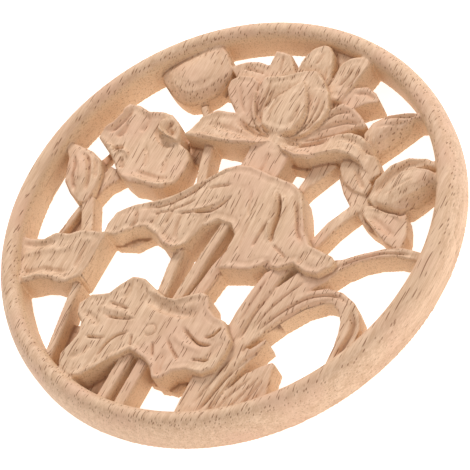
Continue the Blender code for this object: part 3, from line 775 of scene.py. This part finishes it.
LEFT_BUD = (
    groove(1.2, 1.4, (-61.0, 9.6), (-57.0, 7.4), (-54.0, 3.0), (-52.4, -1.0), (-51.4, -5.0)),
    groove(1.0, 1.2, (-63.0, 8.0), (-60.0, 4.0), (-58.4, -0.5), (-55.0, -5.0)),
    groove(1.0, 0.8, (-55.4, 9.2), (-52.6, 5.4), (-51.0, 1.0)),
    ridge(1.0, 0.6, (-60.0, 6.8), (-57.0, 3.0), (-55.0, -1.0)),
)

RIGHT_BUDS = (
    rounded(6.0, 4.2, (31.4, 36.6), (35.6, 35.6), (38.9, 41.0), (41.5, 45.6), (43.5, 49.2)),
    groove(0.9, 1.0, (32.4, 46.2), (36.0, 48.2), (40.0, 49.4), (44.6, 51.0)),
    groove(0.8, 0.5, (31.6, 42.6), (35.0, 44.6), (39.0, 47.0), (42.6, 49.8)),
    groove(2.0, 1.2, (42.6, 19.6), (43.4, 25.0), (46.2, 31.2), (50.2, 34.6), (56.0, 35.0)),
    lap(1.0, 0.9, (60.0, 33.6), (53.0, 33.6), (48.6, 31.4), (45.4, 25.6), (43.2, 20.4)),
    rounded(5.0, 2.6, (55.4, 20.0), (57.6, 24.0), (59.6, 28.0), (61.6, 31.0)),
    groove(1.4, 1.6, (43.0, 18.6), (48.0, 17.6), (52.0, 17.9), (55.6, 19.0)),
    ridge(1.0, 0.8, (42.6, 16.4), (47.0, 17.0), (52.0, 16.8), (56.0, 15.4)),
    groove(1.8, 0.9, (43.6, 14.4), (47.6, 13.2), (52.0, 11.4), (56.0, 9.6)),
    ridge(0.9, 0.6, (43.4, 12.8), (48.0, 10.8), (53.0, 8.2)),
    groove(0.7, 0.4, (46.0, 21.0), (50.0, 25.6), (54.4, 30.4)),
)

FLOWER = (
    lap(1.5, 1.1, (1.8, 51.9), (-1.8, 48.0), (-5.2, 43.5), (-6.7, 38.5), (-4.5, 34.0), (0.5, 31.8)),
    lap(1.5, 1.1, (2.5, 31.8), (6.6, 34.4), (8.1, 39.0), (7.3, 43.5), (5.0, 48.4), (2.6, 51.9)),
    lap(1.3, 0.9, (-11.9, 50.2), (-12.4, 45.0), (-11.6, 40.0), (-8.5, 35.3), (-3.0, 31.6)),
    lap(1.3, 0.8, (5.4, 32.4), (10.6, 35.5), (13.9, 40.0), (14.9, 44.6), (12.6, 49.6), (8.0, 54.3),
        (4.5, 56.6), (0.0, 55.6), (-5.2, 52.8), (-11.9, 50.6)),
    groove(0.8, 1.0, (-8.6, 49.6), (-8.6, 44.0), (-8.4, 39.0), (-5.6, 34.6)),
    groove(0.7, 0.8, (-6.9, 48.6), (-6.9, 44.6), (-7.2, 40.0)),
    groove(0.7, 0.8, (-10.4, 46.0), (-10.2, 41.0), (-8.2, 36.6)),
    groove(0.8, 0.9, (9.4, 50.5), (10.2, 45.0), (9.8, 39.6), (7.4, 34.6)),
    groove(0.8, 0.9, (12.0, 48.4), (12.4, 44.0), (11.6, 39.6), (8.8, 35.0)),
    groove(0.6, 0.5, (-2.4, 44.6), (-3.6, 40.0), (-3.0, 36.0)),
    groove(0.6, 0.5, (4.8, 44.0), (5.4, 40.0), (4.4, 35.6)),
    lap(1.3, 1.0, (-7.0, 34.6), (-10.6, 40.4), (-12.4, 45.2), (-13.0, 48.6)),
    groove(0.7, 0.6, (-18.4, 46.4), (-16.4, 41.4), (-12.4, 36.4)),
    groove(1.6, 1.6, (-15.0, 34.6), (-9.0, 32.4), (-3.0, 31.2), (1.6, 31.0)),
    ridge(1.2, 0.7, (-26.0, 25.2), (-17.0, 25.0), (-9.0, 25.6), (-2.6, 27.4), (0.6, 29.6)),
    groove(2.0, 0.8, (-24.0, 30.0), (-16.0, 30.2), (-9.0, 29.6), (-3.0, 29.6)),
    groove(1.6, 1.7, (3.4, 31.2), (9.0, 31.2), (15.0, 33.6), (20.0, 36.2)),
    ridge(1.2, 0.8, (4.4, 29.4), (9.0, 27.0), (14.0, 26.4), (20.0, 28.8), (26.0, 31.6), (31.0, 31.6)),
    groove(1.6, 0.8, (22.0, 35.4), (27.0, 36.2), (32.0, 34.6), (36.4, 30.6)),
    groove(1.0, 0.8, (12.6, 37.4), (17.0, 40.4), (21.4, 43.0), (26.4, 43.4)),
    groove(0.9, 0.8, (14.4, 41.6), (17.6, 45.0), (22.0, 46.0)),
    lap(1.4, 1.0, (9.0, 51.6), (9.2, 56.0), (8.2, 60.5), (6.4, 64.2)),
    lap(1.2, 0.8, (-3.0, 61.4), (-3.2, 57.6), (-3.0, 54.0)),
    groove(0.8, 0.7, (2.4, 58.4), (3.2, 61.6), (3.0, 64.6)),
    groove(0.8, 0.8, (13.0, 53.0), (14.6, 57.4), (15.6, 62.4)),
    groove(0.7, 0.7, (16.0, 53.0), (17.2, 57.4), (18.0, 62.0)),
    groove(1.0, 0.7, (18.8, 52.8), (23.0, 54.0), (27.4, 52.8)),
    groove(0.8, 0.7, (-8.6, 52.8), (-9.2, 56.6), (-10.4, 60.0)),
    groove(0.8, 0.7, (-22.6, 52.4), (-17.6, 52.6), (-12.8, 52.2)),
    groove(0.9, 0.6, (2.6, 26.0), (3.4, 21.0), (3.0, 17.5)),
    groove(1.2, 0.9, (32.0, 29.4), (35.0, 25.4), (38.6, 22.4)),
)

GRASS = (
    groove(0.6, 0.6, (33.0, -60.5), (35.4, -53.0), (38.6, -44.5)),
    groove(0.6, 0.6, (36.0, -59.5), (38.2, -52.0), (39.8, -45.0)),
    groove(0.6, 0.5, (39.0, -57.5), (40.6, -51.0), (40.8, -46.0)),
    groove(0.6, 0.6, (30.0, -61.0), (32.0, -54.0), (36.4, -45.0)),
    groove(0.8, 0.8, (22.4, -62.0), (25.0, -50.0), (27.2, -40.5)),
    groove(0.7, 0.7, (25.6, -62.0), (28.2, -50.0), (29.8, -41.0)),
    groove(0.7, 0.8, (22.8, -33.0), (23.4, -24.0), (24.6, -13.0)),
    groove(0.9, 1.1, (25.4, -38.0), (26.0, -28.0), (27.4, -18.0)),
    groove(0.7, 0.8, (27.6, -34.0), (30.0, -24.0), (34.5, -15.0), (38.0, -10.5)),
    groove(0.8, 1.0, (28.4, -35.0), (32.6, -26.0), (38.0, -18.6), (44.0, -15.0), (50.0, -14.4),
           (55.0, -17.4)),
    groove(0.7, 0.6, (31.0, -34.0), (36.0, -25.0), (41.6, -19.0), (46.0, -16.4), (50.0, -16.2)),
    groove(1.4, 1.6, (54.6, -16.6), (57.4, -21.0), (58.0, -26.0), (56.8, -33.5)),
    groove(0.8, 0.9, (42.0, -7.4), (47.0, -2.0), (54.0, 2.8), (61.0, 4.8), (67.0, 5.2)),
    groove(0.6, 0.5, (41.0, -4.6), (47.0, -0.2), (54.0, 4.2), (62.0, 6.2)),
    groove(0.6, 0.5, (18.8, -52.0), (19.4, -60.0), (20.0, -65.0)),
    groove(0.8, 0.9, (24.6, -65.0), (27.4, -53.0), (30.6, -43.6), (34.4, -35.4)),
)

POD = (
    rounded(3.0, 1.6, (-49.6, 43.2), (-44.0, 39.2), (-38.0, 36.8), (-33.5, 37.5), (-28.6, 41.4),
            (-26.2, 47.0), (-26.8, 52.4)),
)

CARVING = (LOWER_LEAF, MIDDLE_LEAF, CURLED_LEAF, LEFT_LEAF, LEFT_BUD, RIGHT_BUDS, FLOWER, GRASS, POD)


@dataclass(frozen=True)
class Hollow:
    """A kind of hollow where the wood's colour holds painted shade. Lengths are in millimetres.

    Attributes:
        name: the attribute that stores it.
        reach: how far round a point its surroundings are measured.
        start: how far below them it begins.
        full: how far below them it is full.
    """

    name: str
    reach: float
    start: float
    full: float


# Masks for painted shade: the wider hollows and the narrow creases.
HOLLOWS = (Hollow("recess_shade", 2.4, 0.2, 4.0), Hollow("crease_shade", 1.2, 0.15, 0.8))


@dataclass(frozen=True)
class Tooling:
    """How the carver's tools leave the face. Lengths are in millimetres.

    Attributes:
        cell: the side of a cell of the face.
        no_wood: the height that a cell has where there is none.
        lowest_wood: the height above which a cell is wood.
        soften_reach: how far the facets are smoothed over.
        soften_step: the step in height above which an edge is kept.
        soften_rounds: how many times they are smoothed.
        voxel: the size of the faces of the even skin.
        merge: points of the solid this near are one.
        spread_cells: how many cells past a free edge the heights are carried.
        top_reach: how far below the face the skin still follows it.
        rim_reach: how far from a point a free edge is looked for.
        rim_drop: how deep the fall beyond a free edge is at least.
        rim_width: how far from the edge the lip stands.
        rim_height: how high it is.
        rim_from: the height from which forms have a lip.
        wave_length: the length of the hand-cut unevenness.
        wave_height: its height.
        gouge_length: the length of the gouge marks.
        gouge_height: their height.
        seed: of the unevenness.
        most_triangles: how many the finished skin has at most.
    """

    cell: float = 0.25
    no_wood: float = -1.0
    lowest_wood: float = 0.5
    soften_reach: float = 1.5
    soften_step: float = 0.24
    soften_rounds: int = 3
    voxel: float = 0.31
    merge: float = 0.001
    spread_cells: int = 3
    top_reach: float = 1.2
    rim_reach: float = 3.0
    rim_drop: float = 1.2
    rim_width: float = 0.9
    rim_height: float = 0.28
    rim_from: float = 8.6
    wave_length: float = 6.0
    wave_height: float = 0.13
    gouge_length: float = 1.5
    gouge_height: float = 0.045
    seed: int = 7
    most_triangles: int = 190_000


class CarvedFace:
    """The heights of the face on a square grid, and what is worked into them."""

    def __init__(self, mesh: bpy.types.Mesh, radius: float, tooling: Tooling) -> None:
        """Reads the heights of the solid from above.

        Args:
            mesh: the solid, in metres.
            radius: the radius inside the ring, in millimetres.
            tooling: how the tools leave the face.
        """
        self.tooling = tooling
        self.radius = radius
        half = int(math.ceil(radius / tooling.cell)) + 4
        line = np.arange(-half, half + 1) * tooling.cell
        self.first = line[0]
        self.x, self.y = np.meshgrid(line, line)
        tree = BVHTree.FromPolygons((points_of(mesh) / MM).tolist(), faces_of(mesh).tolist())
        self.top = np.full(self.x.shape, tooling.no_wood)
        down = Vector((0.0, 0.0, -1.0))
        for row, column in np.argwhere(np.hypot(self.x, self.y) < radius + 1.0):
            start = Vector((self.x[row, column], self.y[row, column], 50.0))
            hit = tree.ray_cast(start, down)[0]
            if hit is not None:
                self.top[row, column] = hit.z
        self.wood = self.top > tooling.lowest_wood
        self.change = np.zeros(self.x.shape)

    def shifted(self, grid: np.ndarray, rows: int, columns: int, blank: float) -> np.ndarray:
        """The grid moved by whole cells.

        Args:
            grid: what is moved.
            rows: by how many rows.
            columns: by how many columns.
            blank: what fills the edge.

        Returns:
            The moved copy.
        """
        moved = np.full(grid.shape, blank)
        high, wide = grid.shape
        to_rows = slice(max(rows, 0), high + min(rows, 0))
        from_rows = slice(max(-rows, 0), high + min(-rows, 0))
        to_columns = slice(max(columns, 0), wide + min(columns, 0))
        from_columns = slice(max(-columns, 0), wide + min(-columns, 0))
        moved[to_rows, to_columns] = grid[from_rows, from_columns]
        return moved

    def around(self, reach: float) -> list[tuple[int, int, float]]:
        """The cells within a reach, each with its distance in millimetres."""
        cells = int(reach / self.tooling.cell)
        span = range(-cells, cells + 1)
        found = [(r, c, math.hypot(r, c) * self.tooling.cell) for r in span for c in span]
        return [f for f in found if f[2] <= reach]

    def soften(self) -> None:
        """Rounds the facets of the solid, and keeps the steps where one form lies over another."""
        tooling = self.tooling
        reach, step = tooling.soften_reach, tooling.soften_step
        height = self.top
        for _ in range(tooling.soften_rounds):
            total = np.zeros(height.shape)
            weights = np.zeros(height.shape)
            for rows, columns, gap in self.around(reach):
                near = self.shifted(height, rows, columns, tooling.no_wood)
                far = math.exp(-2.0 * (gap / reach) ** 2)
                alike = np.exp(-(((near - height) / step) ** 2))
                weight = far * alike * (near > tooling.lowest_wood)
                total += weight * near
                weights += weight
            height = np.where(self.wood, total / np.maximum(weights, 1e-6), height)
        self.change += np.where(self.wood, height - self.top, 0.0)

    def round_rims(self) -> None:
        """Leaves a slight raised lip along each free edge, and takes its sharp corner off."""
        tooling = self.tooling
        gap = np.full(self.top.shape, 3.0 * tooling.rim_reach)
        for rows, columns, distance in self.around(tooling.rim_reach):
            if distance == 0.0:
                continue
            near = self.shifted(self.top, rows, columns, tooling.no_wood)
            falls = near < self.top - tooling.rim_drop
            gap = np.where(falls & (distance < gap), distance, gap)
        width = tooling.rim_width
        lip = np.exp(-(((gap - width) / (0.6 * width)) ** 2))
        valley = np.exp(-(((gap - 2.8 * width) / width) ** 2))
        corner = np.exp(-((gap / (0.35 * width)) ** 2))
        leafy = soft_step(tooling.rim_from, tooling.rim_from + 0.8, self.top)
        self.change += tooling.rim_height * ((lip - 0.5 * valley) * leafy - corner) * self.wood

    def wave(self) -> None:
        """Leaves the slight unevenness of a face that is cut by hand."""
        source = np.random.default_rng(self.tooling.seed)
        rough = ((self.tooling.wave_length, self.tooling.wave_height),
                 (self.tooling.gouge_length, self.tooling.gouge_height))
        for length, height in rough:
            count = int(2 * abs(self.first) / length) + 3
            knots = source.standard_normal((count, count))
            column, row = (self.x - self.first) / length, (self.y - self.first) / length
            c, r = column.astype(int), row.astype(int)
            u, v = soft_step(0.0, 1.0, column - c), soft_step(0.0, 1.0, row - r)
            lower = knots[r, c] * (1 - u) + knots[r, c + 1] * u
            upper = knots[r + 1, c] * (1 - u) + knots[r + 1, c + 1] * u
            self.change += height * (lower * (1 - v) + upper * v) * self.wood

    def work(self, lines: tuple[Line, ...]) -> None:
        """Works lines into the face.

        Args:
            lines: the lines.
        """
        for line in lines:
            points = np.array(line.points)
            low, high = points.min(0) - 4 * line.width, points.max(0) + 4 * line.width
            near = (self.x > low[0]) & (self.x < high[0]) & (self.y > low[1]) & (self.y < high[1])
            near &= self.wood
            self.change[near] += line.height(self.x[near], self.y[near])

    def settle(self) -> None:
        """Fades every change towards the ring, which is turned and stays plain."""
        inward = self.radius - np.hypot(self.x, self.y)
        self.change *= soft_step(0.0, 1.5, inward)

    def spread(self) -> None:
        """Carries the heights and their changes a little past each free edge, for the walls there."""
        known = self.wood.copy()
        beside = [(r, c) for r in (-1, 0, 1) for c in (-1, 0, 1) if (r, c) != (0, 0)]
        for _ in range(self.tooling.spread_cells):
            count = sum(self.shifted(known.astype(float), r, c, 0.0) for r, c in beside)
            fresh = ~known & (count > 0.0)
            for grid in (self.top, self.change):
                total = sum(self.shifted(grid * known, r, c, 0.0) for r, c in beside)
                grid[fresh] = total[fresh] / count[fresh]
            known |= fresh

    def sample(self, grid: np.ndarray, points: np.ndarray) -> np.ndarray:
        """Reads a grid at points, between its cells.

        Args:
            grid: the grid.
            points: the places, in millimetres, one row each.

        Returns:
            A value for each point.
        """
        column = (points[:, 0] - self.first) / self.tooling.cell
        row = (points[:, 1] - self.first) / self.tooling.cell
        c = np.clip(column.astype(int), 0, grid.shape[1] - 2)
        r = np.clip(row.astype(int), 0, grid.shape[0] - 2)
        u, v = np.clip(column - c, 0, 1), np.clip(row - r, 0, 1)
        lower = grid[r, c] * (1 - u) + grid[r, c + 1] * u
        upper = grid[r + 1, c] * (1 - u) + grid[r + 1, c + 1] * u
        return lower * (1 - v) + upper * v


class Rosette:
    """The rosette: a copy of its solid with a true ring, finer relief and wood."""

    def __init__(self, frame: dict, tooling: Tooling, finish: BareWood) -> None:
        """Keeps what the rosette is made from.

        Args:
            frame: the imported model, as it was loaded.
            tooling: how the tools leave the face.
            finish: the wood's finish.
        """
        self.solid = frame["nodes"]["rosette"]
        self.tooling = tooling
        self.finish = finish
        low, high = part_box("rosette")
        self.ring = RingSizes(diameter=high.x - low.x, thickness=high.z - low.z)

    def build(self) -> bpy.types.Object:
        """Makes the finished piece.

        Returns:
            The piece, in place of the solid.
        """
        wood = self.finish.material()
        ring = TurnedRing(self.ring).build(wood)
        LOG.info("ring: %d faces", len(ring.polygons))
        rough = self.merged(self.solid.data)
        face = self.face(rough)
        mesh = self.joined(rough, ring)
        self.carve(mesh, face)
        mesh = self.thinned(mesh)
        self.colour_recesses(mesh, face)
        mesh.materials.clear()
        mesh.materials.append(wood)
        mesh.shade_smooth()
        piece = bpy.data.objects.new("carved_rosette", mesh)
        bpy.context.scene.collection.objects.link(piece)
        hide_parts("rosette")
        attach(piece, "root")
        LOG.info("rosette: %d triangles", len(faces_of(mesh)))
        return piece

    def merged(self, mesh: bpy.types.Mesh) -> bpy.types.Mesh:
        """A copy of a mesh of loose triangles, with points in one place joined.

        Args:
            mesh: the loose triangles.

        Returns:
            The closed copy.
        """
        points = points_of(mesh)
        cells = np.round(points / (self.tooling.merge * MM)).astype(int)
        _, first, index = np.unique(cells, axis=0, return_index=True, return_inverse=True)
        faces = index.reshape(-1)[faces_of(mesh)]
        one, two, three = faces.T
        whole = (one != two) & (two != three) & (three != one)
        copy = bpy.data.meshes.new("carved_rosette")
        copy.from_pydata(points[first].tolist(), [], faces[whole].tolist())
        copy.validate()
        return copy

    def face(self, rough: bpy.types.Mesh) -> CarvedFace:
        """Reads the solid's face and works the relief into it.

        Args:
            rough: the closed copy of the solid.

        Returns:
            The worked face.
        """
        inside = (0.5 * self.ring.diameter - self.ring.width) / MM
        face = CarvedFace(rough, inside, self.tooling)
        LOG.info("face: %d cells of wood", int(face.wood.sum()))
        face.soften()
        face.round_rims()
        face.wave()
        for lines in CARVING:
            face.work(lines)
        face.settle()
        face.spread()
        return face

    def joined(self, rough: bpy.types.Mesh, ring: bpy.types.Mesh) -> bpy.types.Mesh:
        """Joins the solid's copy and the ring into one even skin.

        Args:
            rough: the closed copy of the solid.
            ring: the turned ring.

        Returns:
            The skin.
        """
        points = np.vstack([points_of(rough), points_of(ring)])
        faces = np.vstack([faces_of(rough), faces_of(ring) + len(rough.vertices)])
        both = bpy.data.meshes.new("both")
        both.from_pydata(points.tolist(), [], faces.tolist())
        holder = bpy.data.objects.new("both", both)
        bpy.context.scene.collection.objects.link(holder)
        remesh = holder.modifiers.new("even skin", "REMESH")
        remesh.mode = "VOXEL"
        remesh.voxel_size = self.tooling.voxel * MM
        smooth = holder.modifiers.new("sanding", "SMOOTH")
        smooth.factor = 0.5
        smooth.iterations = 1
        mesh = plain_mesh(holder)
        bpy.data.objects.remove(holder)
        LOG.info("skin: %d faces", len(mesh.polygons))
        return mesh

    def carve(self, mesh: bpy.types.Mesh, face: CarvedFace) -> None:
        """Moves the skin's upper side to the worked face, and keeps the back flat.

        Where an edge is cut low, the wall under it is lowered with it.

        Args:
            mesh: the skin.
            face: the worked face.
        """
        points = points_of(mesh) / MM
        normals = normals_of(mesh)
        upward = soft_step(0.10, 0.55, normals[:, 2])
        top, change = face.sample(face.top, points), face.sample(face.change, points)
        near_top = np.exp(-(((points[:, 2] - top) / self.tooling.top_reach) ** 2))
        up_the_wall = np.clip(points[:, 2] / np.maximum(top, 1.0), 0.0, 1.0)
        lowered = soft_step(0.8, 1.6, -change)
        points[:, 2] += np.maximum(upward * near_top, up_the_wall * lowered) * change
        points[:, 2] = np.maximum(points[:, 2], 0.0)
        mesh.vertices.foreach_set("co", (points * MM).astype(np.float32).ravel())
        mesh.update()

    def thinned(self, mesh: bpy.types.Mesh) -> bpy.types.Mesh:
        """Takes out faces where the skin is flat.

        Args:
            mesh: the skin.

        Returns:
            The lighter skin.
        """
        holder = bpy.data.objects.new("skin", mesh)
        bpy.context.scene.collection.objects.link(holder)
        light = holder.modifiers.new("fewer faces", "DECIMATE")
        light.ratio = min(1.0, self.tooling.most_triangles / len(faces_of(mesh)))
        thin = plain_mesh(holder)
        bpy.data.objects.remove(holder)
        return thin

    def colour_recesses(self, mesh: bpy.types.Mesh, face: CarvedFace) -> None:
        """Stores how deep each point lies in a hollow, and which points are on walls.

        The wood's colour follows them with painted shade in the hollows, creases and walls of the
        openings.

        Args:
            mesh: the finished skin.
            face: the worked face.
        """
        height = np.where(face.wood, face.top + face.change, 0.0)
        points = points_of(mesh) / MM
        outward = np.hypot(points[:, 0], points[:, 1])
        inside = outward < face.radius
        within = soft_step(face.radius + 3.0, face.radius + 1.5, outward)
        wall = soft_step(0.75, 0.25, normals_of(mesh)[:, 2])
        values = {"wall": wall, "inner_wall": wall * within}
        for hollow in HOLLOWS:
            total = np.zeros(height.shape)
            count = np.zeros(height.shape)
            for rows, columns, _ in face.around(hollow.reach):
                total += face.shifted(height, rows, columns, 0.0)
                count += face.shifted(face.wood.astype(float), rows, columns, 0.0)
            mean = face.sample(total / np.maximum(count, 1.0), points)
            below = mean - points[:, 2]
            values[hollow.name] = soft_step(hollow.start, hollow.full, below) * inside
        for name, value in values.items():
            attribute = mesh.attributes.new(name, "FLOAT", "POINT")
            attribute.data.foreach_set("value", value.astype(np.float32))


# The studio


@dataclass(frozen=True)
class Camera:
    """The photograph's camera. Lengths are in metres and angles in degrees."""

    azimuth: float = 55.47
    elevation: float = 50.34
    distance: float = 0.8127
    roll: float = -32.41
    lens: float = 202.63
    sensor: float = 36.0
    nearest: float = 0.01
    aim: tuple[float, float, float] = (0.00075, -0.0002, 0.0)

    def build(self) -> None:
        """Adds the camera and makes it the scene's."""
        turn, lift, roll = (math.radians(a) for a in (self.azimuth, self.elevation, self.roll))
        back = Vector(
            (math.sin(turn) * math.cos(lift), -math.cos(turn) * math.cos(lift), math.sin(lift))
        )
        right = Vector((0.0, 0.0, 1.0)).cross(back).normalized()
        up = back.cross(right)
        across = math.cos(roll) * right + math.sin(roll) * up
        upward = math.cos(roll) * up - math.sin(roll) * right
        data = bpy.data.cameras.new("camera")
        data.lens = self.lens
        data.sensor_width = self.sensor
        data.clip_start = self.nearest
        camera = bpy.data.objects.new("camera", data)
        turned = Matrix((across, upward, back)).transposed().to_4x4()
        camera.matrix_world = Matrix.Translation(Vector(self.aim) + self.distance * back) @ turned
        bpy.context.scene.collection.objects.link(camera)
        bpy.context.scene.camera = camera


@dataclass(frozen=True)
class SoftLight:
    """A square soft light that faces the rosette. Lengths are in metres."""

    name: str
    place: tuple[float, float, float]
    side: float
    power: float

    def build(self) -> None:
        """Adds the light."""
        data = bpy.data.lights.new(self.name, "AREA")
        data.shape = "SQUARE"
        data.size = self.side
        data.energy = self.power
        light = bpy.data.objects.new(self.name, data)
        light.location = self.place
        light.rotation_euler = Vector(self.place).to_track_quat("Z", "Y").to_euler()
        bpy.context.scene.collection.objects.link(light)


@dataclass(frozen=True)
class Studio:
    """The pale floor and the light. Lengths are in metres."""

    floor_side: float = 8.0
    floor_gap: float = 0.0002
    floor_colour: Colour = (0.94, 0.94, 0.94)
    floor_roughness: float = 0.9
    floor_glow: float = 0.72
    surround: float = 0.58
    lights: tuple[SoftLight, ...] = (
        SoftLight("key", (-0.62, 0.95, 0.90), 0.40, 11.5),
        SoftLight("side", (1.20, -0.10, 0.55), 0.60, 2.7),
    )

    def build(self) -> None:
        """Adds the floor, the light and the surroundings."""
        half = 0.5 * self.floor_side
        corners = [(-half, -half), (half, -half), (half, half), (-half, half)]
        mesh = bpy.data.meshes.new("floor")
        mesh.from_pydata([(x, y, -self.floor_gap) for x, y in corners], [], [(0, 1, 2, 3)])
        paint = bpy.data.materials.new("floor")
        paint.use_nodes = True
        paint.node_tree.nodes.clear()
        nodes = Nodes(paint.node_tree)
        surface = nodes.add(
            "ShaderNodeBsdfPrincipled",
            {},
            {
                "Base Color": (*self.floor_colour, 1.0),
                "Roughness": self.floor_roughness,
                "Specular IOR Level": 0.0,
                "Emission Color": (1.0, 1.0, 1.0, 1.0),
                "Emission Strength": self.floor_glow,
            },
        )
        nodes.add("ShaderNodeOutputMaterial", {}, {"Surface": surface.outputs[0]})
        mesh.materials.append(paint)
        floor = bpy.data.objects.new("floor", mesh)
        bpy.context.scene.collection.objects.link(floor)
        world = bpy.data.worlds.new("surroundings")
        world.use_nodes = True
        background = world.node_tree.nodes["Background"]
        background.inputs["Strength"].default_value = self.surround
        background.inputs["Color"].default_value = (1.0, 1.0, 1.0, 1.0)
        bpy.context.scene.world = world
        for light in self.lights:
            light.build()


def main() -> None:
    """Builds the scene in order."""
    logging.basicConfig(level=logging.INFO, format="%(message)s")
    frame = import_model()
    scene = bpy.context.scene
    for name in ("Cube", "Light", "Camera"):
        if name in bpy.data.objects:
            bpy.data.objects.remove(bpy.data.objects[name])
    scene.view_settings.view_transform = "Standard"
    Camera().build()
    Studio().build()
    LOG.info("studio: floor, light and camera")
    Rosette(frame, Tooling(), BareWood()).build()


if __name__ == "__main__":
    main()
